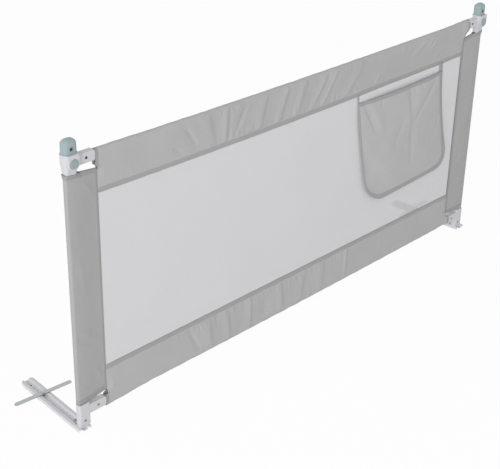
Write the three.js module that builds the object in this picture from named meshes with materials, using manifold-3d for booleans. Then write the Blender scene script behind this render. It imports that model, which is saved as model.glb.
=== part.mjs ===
// Bed guard rail with a drop side, in millimetres, +Z up.
// X runs along the rail, -Y is the outer side and +Y is the bed side, where the feet reach
// under the mattress. The origin is at the middle of the box round the part, on the ground.
import * as THREE from 'three';
import { mergeVertices } from 'three/addons/utils/BufferGeometryUtils.js';
import Module from 'manifold-3d';

const wasm = await Module();
wasm.setup();

// Driving dimensions
const overallLength = 1798;
const bottomRailHeight = 58;
const topRailHeight = 812;
const lowerTubeTop = 430;
const sleeveBottom = 83;
const sleeveDrop = 39;
const topBandDrop = 112.5;
const bottomBandTop = 166.5;
const seamInset = 101.5;
const bandInset = 94;

// Clearances
const gap = 0.3;
const slidingGap = 0.3;
const clothEase = 0.6;
const overrun = 1;

// Cloth
const clothThickness = 1.2;
const hemHalfThickness = 2.2;
const hemWidth = 11;
const hemRise = 6;
const meshThickness = 1;

// Post tubes, flat ovals that telescope
const postWidth = 32;
const postDepth = 13;
const tubeWall = 1.2;
const upperTubeWidth = 27;
const upperTubeDepth = 8.2;
const ovalShare = 0.48;
const bushFlange = 6;
const bushSpigot = 40;
const shoeRise = 15;
const shoePlugRise = 25;

// Rail tubes, flat ovals that stand on edge
const railRise = 26;
const railDepth = 14;
const railInsertion = 47;
const joinerLength = 140;
const joinerWall = 1.5;

// Corner fittings
const armRise = 30;
const armDepth = 20;
const armCornerRadius = 7;
const mouldBevel = 2;
const socketGap = 0.3;
const armGapToBand = 0.8;
const armScrewInset = 29;

// Top fitting
const collarWidth = 44;
const collarDepth = 31;
const collarRadius = 11;
const collarRise = 24;
const collarDrop = 2;
const neckWidth = 34;
const neckDepth = 20;
const neckRadius = 6;
const lipHeight = 4;
const lipProud = 1;
const bossRadius = 17.5;
const bossProud = 7;
const notchRadius = 9;
const tubeSocketDrop = 19;
const neckRiseShares = [0, 0.15, 0.4, 0.7, 1];
const neckGrowthShares = [0, 0, 0.3, 0.75, 1];

// Cap
const capWidth = 41;
const capDepth = 29.6;
const capRadius = 12;
const capStraight = 26;
const capDome = 14;
const capWall = 2.5;
const capFrontWall = 5.5;
const capCavityHeight = 24;
const capDomeSteps = 6;
const capScrewHeight = 13.5;
const capRecessRadius = 6;
const capRecessDepth = 2.6;

// Push button
const buttonRadius = 13;
const buttonProud = 2.5;
const buttonGap = 0.4;
const buttonDish = 0.5;
const buttonTravel = 5;
const flangeRadius = 15;
const flangeThickness = 2;
const lipDepth = 4;
const cavityDepth = 18;
const stemRadius = 4;
const springWire = 1.2;
const springRadius = 6.2;
const springTurns = 4;

// Base fitting
const baseWidth = 37;
const baseDepth = 21;
const baseRadius = 5.5;
const baseSocketFloor = 14;
const baseTopGap = 1;
const baseFilletRadius = 14;
const baseScrewHeight = 27;
const baseRecessDepth = 1;
const lugReach = 39;
const lugRise = 3;
const lugScrewInset = 6;

// Foot
const footWidth = 42;
const footHeight = 9;
const footSheet = 1.6;
const footFront = 17;
const footReach = 290;
const footShift = 6.5;
const footSplay = 3;
const footEdgeRadius = 3;
const footTipRadius = 15;
const footHeelRadius = 5;
const grooveFloor = 3;
const grooveHalfFloor = 5.4;
const grooveHalfMouth = 9.5;
const tipHoleInset = 34;
const tipHoleRadius = 2.5;

// Cross bar on the foot
const crossBarLength = 188;
const crossBarWidth = 14;
const crossBarThickness = 2.5;
const crossBarPlace = 196;
const crossBarTurn = 2;
const pivotRadius = 2.5;
const pivotShoulder = 4.6;
const pivotHeadRadius = 5.5;
const pivotHeadRise = 2.4;
const pivotTailRadius = 4;
const pivotTailRise = 0.8;

// Screws
const screwRadius = 1.8;
const screwHeadRadius = 3.8;
const screwHeadRise = 2.2;
const screwLength = 9;
const crossWidth = 0.9;
const crossLength = 4.6;
const crossDepth = 1.1;
const screwSeatDepth = 1.2;

// Pocket
const pocketLeft = 238;
const pocketRight = 687;
const pocketDepth = 399;
const pocketTilt = 14;
const pocketLeftLean = 72;
const pocketRightLean = 76;
const pocketLeftCorner = 85;
const pocketRightCorner = 85;
const pocketMouthDrop = 27;
const pocketMouthSag = 3;
const pocketBackTop = 2.1;
const pocketBackTilt = 11;
const pocketSheet = 1.2;
const pocketMouthGap = 7.5;
const pocketBulge = 8.5;
const pocketFold = 1.6;

// Folds of the hanging cloth
const foldDepth = 2.6;
const foldPitch = 132;
const foldPitchTwo = 211;

// Facets
const cornerSteps = 4;
const tubeSteps = 3;
const roundSides = 24;
const screwSides = 10;
const springSides = 5;
const springSteps = 8;
const footCornerSteps = 8;
const crossBarEndSteps = 6;
const wrapSteps = 5;
const bandStations = 30;
const pocketColumns = 14;
const pocketRows = 12;
const sleeveStations = 9;

// Materials
function finish(color, roughness, metalness) {
  return new THREE.MeshStandardMaterial({ color, roughness, metalness });
}
const whitePlastic = () => finish(0xdcdce2, 0.55, 0);
const tealPlastic = () => finish(0xa0b4b8, 0.5, 0);
const buttonPlastic = () => finish(0x9aa9a8, 0.45, 0);
const guidePlastic = () => finish(0x5c6064, 0.6, 0);
const greyCloth = () => finish(0xa6a6a6, 0.9, 0);
const paleNet = () => finish(0xd0d0d3, 0.8, 0);
const aluminium = () => finish(0xb9bcc0, 0.35, 1);
const paintedSteel = () => finish(0xd4d4da, 0.4, 0.2);
const brightSteel = () => finish(0xc0c4c4, 0.3, 1);
const springSteel = () => finish(0x9a9da0, 0.3, 1);

// Meshes and solids

// Joins shared vertices, drops collapsed faces and turns every face outwards
function closed(geometry) {
  const bare = geometry.clone();
  bare.deleteAttribute('normal');
  bare.deleteAttribute('uv');
  const merged = mergeVertices(bare);
  const source = merged.index.array;
  const corners = merged.attributes.position;
  const kept = [];
  let volume = 0;
  const a = new THREE.Vector3();
  const b = new THREE.Vector3();
  const c = new THREE.Vector3();
  for (let i = 0; i < source.length; i += 3) {
    const face = [source[i], source[i + 1], source[i + 2]];
    if (new Set(face).size === 3) {
      kept.push(face);
      a.fromBufferAttribute(corners, face[0]);
      b.fromBufferAttribute(corners, face[1]);
      c.fromBufferAttribute(corners, face[2]);
      volume += a.dot(b.cross(c));
    }
  }
  const index = kept.flatMap(([p, q, r]) => (volume < 0 ? [p, r, q] : [p, q, r]));
  merged.setIndex(index);
  merged.computeVertexNormals();
  return merged;
}

function toSolid(geometry) {
  const shell = closed(geometry);
  return new wasm.Manifold(new wasm.Mesh({
    numProp: 3,
    vertProperties: Float32Array.from(shell.attributes.position.array),
    triVerts: Uint32Array.from(shell.index.array),
  }));
}

function fromSolid(solid) {
  const mesh = solid.getMesh();
  const geometry = new THREE.BufferGeometry();
  geometry.setAttribute('position', new THREE.BufferAttribute(mesh.vertProperties, 3));
  geometry.setIndex(new THREE.BufferAttribute(mesh.triVerts, 1));
  geometry.computeVertexNormals();
  return geometry;
}

// One body from pieces that are joined and pieces that are cut away
function shaped(joined, cut) {
  let solid = toSolid(joined[0]);
  for (const geometry of joined.slice(1)) {
    solid = solid.add(toSolid(geometry));
  }
  for (const geometry of cut) {
    solid = solid.subtract(toSolid(geometry));
  }
  return fromSolid(solid);
}

function mirrored(geometry) {
  return closed(geometry.clone().scale(-1, 1, 1));
}

function moved(geometry, x, y, z) {
  return geometry.translate(x, y, z);
}

// Outlines

// A rounded rectangle with the same count of points whatever its size
function roundedOutline(width, height, radius, steps = cornerSteps) {
  const points = [];
  const quarter = Math.PI / 2;
  const centres = [[1, 1], [-1, 1], [-1, -1], [1, -1]];
  centres.forEach(([sx, sy], corner) => {
    for (let i = 0; i <= steps; i += 1) {
      const angle = quarter * (corner + i / steps);
      points.push(new THREE.Vector2(
        sx * (width / 2 - radius) + radius * Math.cos(angle),
        sy * (height / 2 - radius) + radius * Math.sin(angle),
      ));
    }
  });
  return points;
}

function ovalOutline(width, height, steps = tubeSteps) {
  return roundedOutline(width, height, Math.min(width, height) * ovalShare, steps);
}

function roundOutline(radius, sides) {
  const turns = Array.from({ length: sides }, (_, i) => (2 * Math.PI * i) / sides);
  return turns.map((a) => new THREE.Vector2(radius * Math.cos(a), radius * Math.sin(a)));
}

function pierced(outer, inner) {
  const shape = new THREE.Shape(outer);
  if (inner) {
    shape.holes.push(new THREE.Path(inner));
  }
  return shape;
}

function plain(length) {
  return { depth: length, bevelEnabled: false, curveSegments: cornerSteps };
}

// Outline (x, y) drawn upwards from the ground plane
function drawnUp(shape, length) {
  return new THREE.ExtrudeGeometry(shape, plain(length));
}

// Outline (y, z) drawn along +X
function drawnAlong(shape, length) {
  const turn = new THREE.Matrix4().makeBasis(
    new THREE.Vector3(0, 1, 0),
    new THREE.Vector3(0, 0, 1),
    new THREE.Vector3(1, 0, 0),
  );
  return new THREE.ExtrudeGeometry(shape, plain(length)).applyMatrix4(turn);
}

// Outline (x, z) drawn towards -Y, from the plane y = 0
function drawnForward(shape, settings) {
  const turn = new THREE.Matrix4().makeBasis(
    new THREE.Vector3(1, 0, 0),
    new THREE.Vector3(0, 0, 1),
    new THREE.Vector3(0, -1, 0),
  );
  return new THREE.ExtrudeGeometry(shape, settings).applyMatrix4(turn);
}

function softened(depth, bevel) {
  return {
    depth: depth - 2 * bevel,
    bevelEnabled: true,
    bevelThickness: bevel,
    bevelSize: bevel,
    bevelOffset: -bevel,
    bevelSegments: 2,
    curveSegments: cornerSteps,
  };
}

// A round bar whose axis is Y, from y = back to y = front, where front is the lower value
function roundForward(radius, back, front, sides = roundSides) {
  const bar = new THREE.CylinderGeometry(radius, radius, back - front, sides);
  return bar.translate(0, (back + front) / 2, 0);
}

function roundUp(radius, bottom, top, sides = roundSides) {
  const bar = new THREE.CylinderGeometry(radius, radius, top - bottom, sides);
  return bar.rotateX(Math.PI / 2).translate(0, 0, (bottom + top) / 2);
}

// Closed skin over a stack of rings that have the same count of points
function loft(rings) {
  const size = rings[0].length;
  const points = rings.flat();
  const faces = [];
  for (let k = 0; k + 1 < rings.length; k += 1) {
    for (let i = 0; i < size; i += 1) {
      const j = (i + 1) % size;
      const low = k * size;
      const high = low + size;
      faces.push(low + i, low + j, high + j, low + i, high + j, high + i);
    }
  }
  for (const [ring, flip] of [[0, true], [rings.length - 1, false]]) {
    const centre = rings[ring].reduce((sum, p) => sum.add(p), new THREE.Vector3());
    points.push(centre.divideScalar(size));
    for (let i = 0; i < size; i += 1) {
      const j = (i + 1) % size;
      const edge = [ring * size + i, ring * size + j];
      faces.push(...(flip ? edge.reverse() : edge), points.length - 1);
    }
  }
  return fromPoints(points, faces);
}

// A tube whose outer and inner rings have the same count of points, open at both ends
function hollowLoft(outerRings, innerRings) {
  const size = outerRings[0].length;
  const count = outerRings.length;
  const points = [...outerRings.flat(), ...innerRings.flat()];
  const inside = size * count;
  const faces = [];
  for (let k = 0; k + 1 < count; k += 1) {
    for (let i = 0; i < size; i += 1) {
      const j = (i + 1) % size;
      const [a, b] = [k * size + i, k * size + j];
      faces.push(a, b, b + size, a, b + size, a + size);
      faces.push(inside + a, inside + b + size, inside + b);
      faces.push(inside + a, inside + a + size, inside + b + size);
    }
  }
  for (let i = 0; i < size; i += 1) {
    const j = (i + 1) % size;
    const last = (count - 1) * size;
    faces.push(j, i, inside + i, j, inside + i, inside + j);
    faces.push(last + i, last + j, inside + last + j);
    faces.push(last + i, inside + last + j, inside + last + i);
  }
  return fromPoints(points, faces);
}

// A sheet with a front and a back face over a grid of shares, closed round its edge
function sheetSolid(columns, rows, frontPoint, backPoint) {
  const points = [];
  for (const point of [frontPoint, backPoint]) {
    for (let r = 0; r <= rows; r += 1) {
      for (let c = 0; c <= columns; c += 1) {
        points.push(point(c / columns, r / rows));
      }
    }
  }
  const line = columns + 1;
  const back = line * (rows + 1);
  const faces = [];
  for (let r = 0; r < rows; r += 1) {
    for (let c = 0; c < columns; c += 1) {
      const a = r * line + c;
      faces.push(a, a + 1, a + line + 1, a, a + line + 1, a + line);
      faces.push(back + a, back + a + line + 1, back + a + 1);
      faces.push(back + a, back + a + line, back + a + line + 1);
    }
  }
  const rim = [];
  for (let c = 0; c < columns; c += 1) {
    rim.push(c);
  }
  for (let r = 0; r < rows; r += 1) {
    rim.push(r * line + columns);
  }
  for (let c = columns; c > 0; c -= 1) {
    rim.push(rows * line + c);
  }
  for (let r = rows; r > 0; r -= 1) {
    rim.push(r * line);
  }
  rim.forEach((a, i) => {
    const b = rim[(i + 1) % rim.length];
    faces.push(b, a, back + a, b, back + a, back + b);
  });
  return fromPoints(points, faces);
}

function fromPoints(points, faces) {
  const geometry = new THREE.BufferGeometry().setFromPoints(points);
  geometry.setIndex(faces);
  return geometry;
}

function level(outline, z) {
  return outline.map((p) => new THREE.Vector3(p.x, p.y, z));
}

// Places that follow from the sizes above
const sleeveHalfWidth = postWidth / 2 + clothEase + clothThickness;
const postPlace = overallLength / 2 - sleeveHalfWidth;
const seamPlace = overallLength / 2 - seamInset;
const bandPlace = overallLength / 2 - bandInset;
const armReach = postPlace - bandPlace - armGapToBand;
const seamReach = postPlace - seamPlace;
const sleeveTop = topRailHeight - sleeveDrop;
const topBandBottom = topRailHeight - topBandDrop;
const shoeTop = lowerTubeTop - bushSpigot - gap;
const shoeBottom = shoeTop - shoeRise;
const collarTop = topRailHeight + collarRise;
const neckDrop = topRailHeight - sleeveTop - gap;
const faceFront = collarDepth / 2 + bossProud;
const buttonFace = faceFront + buttonProud;
const splay = THREE.MathUtils.degToRad(footSplay);
const tipBend = footReach - footTipRadius;
const tipHalf = footWidth / 2 - footTipRadius;
const footTip = tipBend * Math.cos(splay) + tipHalf * Math.sin(splay) + footTipRadius;
const standOff = (footTip - buttonFace) / 2;
const railEnd = bandPlace + armGapToBand + railInsertion;

// Moulded corner fittings are drawn for the left post: its axis is x = 0, inwards is +X

// The arm that takes the rail tube, with the fillet that joins it to the column
function armSolid(filletRadius, filletSide) {
  const half = armRise / 2;
  const soft = armCornerRadius;
  const outline = new THREE.Shape();
  outline.moveTo(0, -half);
  outline.lineTo(armReach - soft, -half);
  outline.absarc(armReach - soft, -half + soft, soft, -Math.PI / 2, 0, false);
  outline.lineTo(armReach, half - soft);
  outline.absarc(armReach - soft, half - soft, soft, 0, Math.PI / 2, false);
  outline.lineTo(0, half);
  const plate = drawnForward(outline, softened(armDepth, mouldBevel));
  plate.translate(0, armDepth / 2 - mouldBevel, 0);
  const web = new THREE.Shape();
  web.moveTo(-filletRadius, -mouldBevel);
  web.lineTo(filletRadius, -mouldBevel);
  web.lineTo(filletRadius, 0);
  web.absarc(filletRadius, filletRadius, filletRadius, -Math.PI / 2, -Math.PI, true);
  web.lineTo(-filletRadius, filletRadius);
  const webDepth = armDepth - 2 * mouldBevel;
  const fillet = drawnForward(web, plain(webDepth));
  fillet.scale(1, 1, filletSide);
  fillet.translate(0, webDepth / 2, filletSide * half);
  return [plate, fillet];
}

function railSocket() {
  const hole = new THREE.Shape(ovalOutline(railDepth + 2 * socketGap, railRise + 2 * socketGap));
  const socket = drawnAlong(hole, railInsertion + socketGap + overrun);
  return socket.translate(armReach - railInsertion - socketGap, 0, 0);
}

// Hole and seat for a screw that goes in from the outer side, at x and z on a face at y = -face
function screwHole(x, z, face, depth) {
  const shaft = roundForward(screwRadius + gap, -face + depth, -face - overrun, screwSides);
  const seatRadius = screwHeadRadius + gap;
  const seat = roundForward(seatRadius, -face + screwSeatDepth, -face - overrun, screwSides);
  return [moved(shaft, x, 0, z), moved(seat, x, 0, z)];
}

function topFitting() {
  const mix = THREE.MathUtils.lerp;
  const lipWidth = collarWidth + 2 * lipProud;
  const lipDepthAcross = collarDepth + 2 * lipProud;
  const levels = neckRiseShares.map((rise, i) => [
    mix(-neckDrop, -collarDrop, rise),
    mix(neckWidth, collarWidth, neckGrowthShares[i]),
    mix(neckDepth, collarDepth, neckGrowthShares[i]),
    mix(neckRadius, collarRadius, neckGrowthShares[i]),
  ]);
  levels.push(
    [collarRise - lipHeight, collarWidth, collarDepth, collarRadius],
    [collarRise - lipHeight + lipProud, lipWidth, lipDepthAcross, collarRadius + lipProud],
    [collarRise, lipWidth, lipDepthAcross, collarRadius + lipProud],
  );
  const column = loft(levels.map(([z, w, d, r]) => level(roundedOutline(w, d, r), z)));
  const face = new THREE.Shape();
  face.moveTo(bossRadius, collarRise);
  face.lineTo(-bossRadius, collarRise);
  face.lineTo(-bossRadius, 0);
  face.absarc(0, 0, bossRadius, Math.PI, 2 * Math.PI, false);
  const bossSettings = { ...softened(faceFront, mouldBevel / 2), curveSegments: roundSides / 2 };
  const boss = drawnForward(face, bossSettings);
  boss.translate(0, -mouldBevel / 2, 0);
  const tongueWidth = capWidth - 2 * capWall - 2 * gap;
  const tongueDepth = capDepth - capWall - capFrontWall - 2 * gap;
  const tongueRadius = capRadius - 2 * capWall;
  const tongueShape = new THREE.Shape(roundedOutline(tongueWidth, tongueDepth, tongueRadius));
  const tongue = drawnUp(tongueShape, capCavityHeight - gap + overrun);
  tongue.translate(0, (capFrontWall - capWall) / 2, collarRise - overrun);
  const tubeShape = ovalOutline(upperTubeWidth + 2 * socketGap, upperTubeDepth + 2 * socketGap);
  const tubeSocket = drawnUp(new THREE.Shape(tubeShape), neckDrop - tubeSocketDrop + overrun);
  tubeSocket.translate(0, 0, -neckDrop - overrun);
  const lipBack = -faceFront + lipDepth;
  const bore = roundForward(buttonRadius + buttonGap, lipBack + overrun, -faceFront - overrun);
  const cavity = roundForward(flangeRadius + buttonGap, -faceFront + cavityDepth, lipBack);
  const capScrewPlace = collarRise + capScrewHeight;
  const capHole = roundForward(screwRadius + gap, 0, -capDepth / 2, screwSides);
  return shaped(
    [column, boss, tongue, ...armSolid(notchRadius, -1)],
    [
      tubeSocket,
      railSocket(),
      bore,
      cavity,
      moved(capHole, 0, 0, capScrewPlace),
      ...screwHole(armReach - armScrewInset, 0, armDepth / 2, armDepth / 2),
    ],
  );
}

function cap() {
  const outline = roundedOutline(capWidth, capDepth, capRadius);
  const rings = [level(outline, 0), level(outline, capStraight)];
  const lastAngle = (Math.PI / 2) * (capDomeSteps / (capDomeSteps + 0.5));
  for (let k = 1; k <= capDomeSteps; k += 1) {
    const angle = lastAngle * (k / capDomeSteps);
    const narrow = outline.map((p) => p.clone().multiplyScalar(Math.cos(angle)));
    rings.push(level(narrow, capStraight + (capDome * Math.sin(angle)) / Math.sin(lastAngle)));
  }
  const cavityShape = roundedOutline(
    capWidth - 2 * capWall,
    capDepth - capWall - capFrontWall,
    capRadius - 2 * capWall,
  );
  const cavity = drawnUp(new THREE.Shape(cavityShape), capCavityHeight + overrun);
  cavity.translate(0, (capFrontWall - capWall) / 2, -overrun);
  const recess = roundForward(capRecessRadius, -capDepth / 2 + capRecessDepth, -capDepth / 2 - overrun);
  const hole = roundForward(screwRadius + gap, 0, -capDepth / 2, screwSides);
  return shaped(
    [loft(rings)],
    [cavity, moved(recess, 0, 0, capScrewHeight - gap), moved(hole, 0, 0, capScrewHeight - gap)],
  );
}

// The button's face is at y = 0 and its stem points to +Y
function button() {
  const backOfFlange = buttonProud + lipDepth + gap + flangeThickness;
  const crown = buttonRadius * 0.82;
  const profile = [
    new THREE.Vector2(0, buttonDish),
    new THREE.Vector2(crown * 0.5, buttonDish * 0.7),
    new THREE.Vector2(crown, 0),
    new THREE.Vector2(buttonRadius, buttonProud * 0.45),
    new THREE.Vector2(buttonRadius, buttonProud + lipDepth + gap),
    new THREE.Vector2(flangeRadius, buttonProud + lipDepth + gap),
    new THREE.Vector2(flangeRadius, backOfFlange),
    new THREE.Vector2(stemRadius, backOfFlange),
    new THREE.Vector2(stemRadius, backOfFlange + buttonTravel),
    new THREE.Vector2(0, backOfFlange + buttonTravel),
  ];
  return closed(new THREE.LatheGeometry(profile, roundSides));
}

// A coil whose axis is Y, between the flange of the button and the floor of its cavity
function buttonSpring() {
  const length = cavityDepth - lipDepth - flangeThickness - gap - 2 * gap - springWire;
  class Coil extends THREE.Curve {
    getPoint(t, target = new THREE.Vector3()) {
      const angle = 2 * Math.PI * springTurns * t;
      return target.set(springRadius * Math.cos(angle), length * t, springRadius * Math.sin(angle));
    }
  }
  const wire = new THREE.Shape(roundOutline(springWire / 2, springSides));
  const settings = { steps: springTurns * springSteps, bevelEnabled: false, extrudePath: new Coil() };
  return closed(new THREE.ExtrudeGeometry(wire, settings));
}

// Head at +Y, underside of the head at y = 0
function screw(length = screwLength) {
  const profile = [
    new THREE.Vector2(0, -length),
    new THREE.Vector2(screwRadius * 0.5, -length),
    new THREE.Vector2(screwRadius, -length + screwRadius),
    new THREE.Vector2(screwRadius, 0),
    new THREE.Vector2(screwHeadRadius, 0),
    new THREE.Vector2(screwHeadRadius, screwHeadRise * 0.35),
    new THREE.Vector2(screwHeadRadius * 0.8, screwHeadRise * 0.75),
    new THREE.Vector2(screwHeadRadius * 0.4, screwHeadRise * 0.97),
    new THREE.Vector2(0, screwHeadRise),
  ];
  const body = new THREE.LatheGeometry(profile, screwSides);
  const slots = [[crossLength, crossWidth], [crossWidth, crossLength]].map(([w, d]) => {
    const slot = new THREE.BoxGeometry(w, crossDepth + overrun, d);
    return slot.translate(0, screwHeadRise - crossDepth + (crossDepth + overrun) / 2, 0);
  });
  return shaped([body], slots);
}

function tube(outer, inner, length) {
  return closed(drawnUp(pierced(outer, inner), length));
}

function lowerTube() {
  const outer = ovalOutline(postWidth, postDepth);
  const inner = ovalOutline(postWidth - 2 * tubeWall, postDepth - 2 * tubeWall);
  const bottom = baseSocketFloor + gap;
  const hole = roundForward(screwRadius + gap, 0, -postDepth, screwSides);
  hole.translate(0, 0, baseScrewHeight - bottom);
  return shaped([drawnUp(pierced(outer, inner), lowerTubeTop - bottom)], [hole]);
}

function upperTube() {
  const outer = ovalOutline(upperTubeWidth, upperTubeDepth);
  const inner = ovalOutline(upperTubeWidth - 2 * tubeWall, upperTubeDepth - 2 * tubeWall);
  return tube(outer, inner, topRailHeight - tubeSocketDrop - gap - shoeTop - gap);
}

// Bush that lines the mouth of the lower tube
function tubeBush() {
  const bore = ovalOutline(upperTubeWidth + 2 * slidingGap, upperTubeDepth + 2 * slidingGap);
  const collar = drawnUp(new THREE.Shape(ovalOutline(postWidth, postDepth)), bushFlange);
  const liningShape = ovalOutline(
    postWidth - 2 * tubeWall - 2 * slidingGap,
    postDepth - 2 * tubeWall - 2 * slidingGap,
  );
  const lining = drawnUp(new THREE.Shape(liningShape), bushSpigot + overrun);
  const hole = drawnUp(new THREE.Shape(bore), bushSpigot + bushFlange + 2 * overrun);
  return shaped(
    [collar, lining.translate(0, 0, -bushSpigot)],
    [hole.translate(0, 0, -bushSpigot - overrun)],
  );
}

// Shoe that guides the foot of the upper tube inside the lower one
function guideShoe() {
  const shoeShape = ovalOutline(
    postWidth - 2 * tubeWall - 2 * slidingGap,
    postDepth - 2 * tubeWall - 2 * slidingGap,
  );
  const plugShape = ovalOutline(
    upperTubeWidth - 2 * tubeWall - 2 * gap,
    upperTubeDepth - 2 * tubeWall - 2 * gap,
  );
  const shoe = drawnUp(new THREE.Shape(shoeShape), shoeRise);
  const plug = drawnUp(new THREE.Shape(plugShape), shoeRise + shoePlugRise);
  return shaped([shoe, plug], []);
}

// Turns what is drawn on the axis of the foot to its place under the left post
function onFoot(geometry) {
  return geometry.rotateZ(-splay).translate(-footShift, 0, 0);
}

// Column, arm and the lug that lies in the groove of the foot; z = 0 is the ground
function baseFitting() {
  const top = sleeveBottom - baseTopGap;
  const bottom = footHeight + gap;
  const columnShape = roundedOutline(baseWidth, baseDepth, baseRadius);
  const shrink = mouldBevel / 2;
  const bevelRadius = baseRadius - shrink;
  const bevelled = roundedOutline(baseWidth - 2 * shrink, baseDepth - 2 * shrink, bevelRadius);
  const column = loft([
    level(columnShape, bottom),
    level(columnShape, top - shrink),
    level(bevelled, top),
  ]);
  const arm = armSolid(baseFilletRadius, -1).map((piece) => piece.translate(0, 0, bottomRailHeight));
  const fill = new THREE.Shape();
  fill.moveTo(grooveHalfFloor - gap, grooveFloor + gap);
  fill.lineTo(grooveHalfMouth - gap, footHeight + gap);
  fill.lineTo(grooveHalfMouth - gap, footHeight + gap + overrun);
  fill.lineTo(-grooveHalfMouth + gap, footHeight + gap + overrun);
  fill.lineTo(-grooveHalfMouth + gap, footHeight + gap);
  fill.lineTo(-grooveHalfFloor + gap, grooveFloor + gap);
  const heel = drawnForward(fill, plain(baseDepth)).translate(0, baseDepth / 2, 0);
  const tailWidth = 2 * (grooveHalfFloor - gap);
  const tailShape = new THREE.Shape(roundedOutline(tailWidth, lugReach, tailWidth * ovalShare));
  const tail = drawnUp(tailShape, lugRise);
  tail.translate(0, lugReach / 2, grooveFloor + gap);
  const socketShape = ovalOutline(postWidth + 2 * socketGap, postDepth + 2 * socketGap);
  const socket = drawnUp(new THREE.Shape(socketShape), top - baseSocketFloor + overrun);
  socket.translate(0, 0, baseSocketFloor);
  const recessRise = baseScrewHeight + screwHeadRadius + gap;
  const frontCut = new THREE.BoxGeometry(baseWidth + overrun, baseRecessDepth + overrun, recessRise);
  frontCut.translate(0, -baseDepth / 2 + (baseRecessDepth - overrun) / 2, recessRise / 2);
  const lugHole = roundUp(screwRadius + gap, 0, footHeight + overrun, screwSides);
  const rail = railSocket().translate(0, 0, bottomRailHeight);
  return shaped(
    [column, ...arm, onFoot(heel), onFoot(tail)],
    [
      socket,
      rail,
      frontCut,
      ...screwHole(armReach - armScrewInset, bottomRailHeight, armDepth / 2, armDepth / 2),
      ...screwHole(0, baseScrewHeight, baseDepth / 2 - baseRecessDepth, baseDepth / 2),
      onFoot(moved(lugHole, 0, lugReach - lugScrewInset, 0)),
    ],
  );
}

// Sheet steel channel with a groove down its middle, cut to a round tip
function foot() {
  const half = footWidth / 2;
  const upper = footEdgeRadius;
  const lower = footEdgeRadius - footSheet;
  const lean = footSheet * 0.6;
  const section = new THREE.Shape();
  section.moveTo(half, 0);
  section.lineTo(half, footHeight - upper);
  section.absarc(half - upper, footHeight - upper, upper, 0, Math.PI / 2, false);
  section.lineTo(grooveHalfMouth, footHeight);
  section.lineTo(grooveHalfFloor, grooveFloor);
  section.lineTo(-grooveHalfFloor, grooveFloor);
  section.lineTo(-grooveHalfMouth, footHeight);
  section.lineTo(-half + upper, footHeight);
  section.absarc(-half + upper, footHeight - upper, upper, Math.PI / 2, Math.PI, false);
  section.lineTo(-half, 0);
  section.lineTo(-half + footSheet, 0);
  section.lineTo(-half + footSheet, footHeight - upper);
  section.absarc(-half + upper, footHeight - upper, lower, Math.PI, Math.PI / 2, true);
  section.lineTo(-grooveHalfMouth - lean, footHeight - footSheet);
  section.lineTo(-grooveHalfFloor - lean, grooveFloor - footSheet);
  section.lineTo(grooveHalfFloor + lean, grooveFloor - footSheet);
  section.lineTo(grooveHalfMouth + lean, footHeight - footSheet);
  section.lineTo(half - upper, footHeight - footSheet);
  section.absarc(half - upper, footHeight - upper, lower, Math.PI / 2, 0, true);
  section.lineTo(half - footSheet, 0);
  const length = footFront + footReach;
  const channel = drawnForward(section, plain(length)).translate(0, footReach, 0);
  const plan = new THREE.Shape();
  const heel = [half - footHeelRadius, -footFront + footHeelRadius, footHeelRadius];
  const tip = [half - footTipRadius, footReach - footTipRadius, footTipRadius];
  const quarter = Math.PI / 2;
  plan.moveTo(-heel[0], -footFront);
  plan.absarc(...heel, -quarter, 0, false);
  plan.absarc(...tip, 0, quarter, false);
  plan.absarc(-tip[0], tip[1], tip[2], quarter, Math.PI, false);
  plan.absarc(-heel[0], heel[1], heel[2], Math.PI, Math.PI + quarter, false);
  const blank = new THREE.ExtrudeGeometry(plan, {
    ...plain(footHeight + 2 * overrun),
    curveSegments: footCornerSteps,
  });
  blank.translate(0, 0, -overrun);
  const solid = toSolid(channel).intersect(toSolid(blank));
  const holes = [
    [tipHoleRadius, footReach - tipHoleInset],
    [pivotRadius + gap, crossBarPlace],
    [screwRadius + gap, lugReach - lugScrewInset],
  ].map(([radius, place]) => moved(roundUp(radius, -overrun, footHeight, screwSides), 0, place, 0));
  return fromSolid(holes.reduce((sheet, hole) => sheet.subtract(toSolid(hole)), solid));
}

// Flat strip with round ends that turns on its rivet
function crossBar() {
  const endRadius = crossBarWidth * ovalShare;
  const outline = roundedOutline(crossBarLength, crossBarWidth, endRadius, crossBarEndSteps);
  const strip = new THREE.Shape(outline);
  const hole = roundUp(pivotRadius + gap, -overrun, crossBarThickness + overrun, screwSides);
  return shaped([drawnUp(strip, crossBarThickness)], [hole]);
}

// Rivet of the cross bar; z = 0 is the ground
function pivotRivet() {
  const barBottom = footHeight + gap;
  const headBottom = barBottom + crossBarThickness + gap;
  const tailTop = grooveFloor - footSheet - gap;
  const profile = [
    [0, tailTop - pivotTailRise],
    [pivotTailRadius, tailTop - pivotTailRise],
    [pivotTailRadius, tailTop],
    [pivotRadius, tailTop],
    [pivotRadius, grooveFloor + gap],
    [pivotShoulder, grooveFloor + gap],
    [pivotShoulder, barBottom - gap],
    [pivotRadius, barBottom - gap],
    [pivotRadius, headBottom],
    [pivotHeadRadius, headBottom],
    [pivotHeadRadius * 0.85, headBottom + pivotHeadRise * 0.6],
    [pivotHeadRadius * 0.5, headBottom + pivotHeadRise * 0.92],
    [0, headBottom + pivotHeadRise],
  ].map(([r, z]) => new THREE.Vector2(r, z));
  return closed(new THREE.LatheGeometry(profile, screwSides).rotateX(Math.PI / 2));
}

function railTube(length) {
  const outer = ovalOutline(railDepth, railRise);
  const inner = ovalOutline(railDepth - 2 * tubeWall, railRise - 2 * tubeWall);
  const hole = roundForward(screwRadius + gap, 0, -railDepth, screwSides);
  hole.translate(railInsertion - armScrewInset, 0, 0);
  return shaped([drawnAlong(pierced(outer, inner), length)], [hole]);
}

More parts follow.
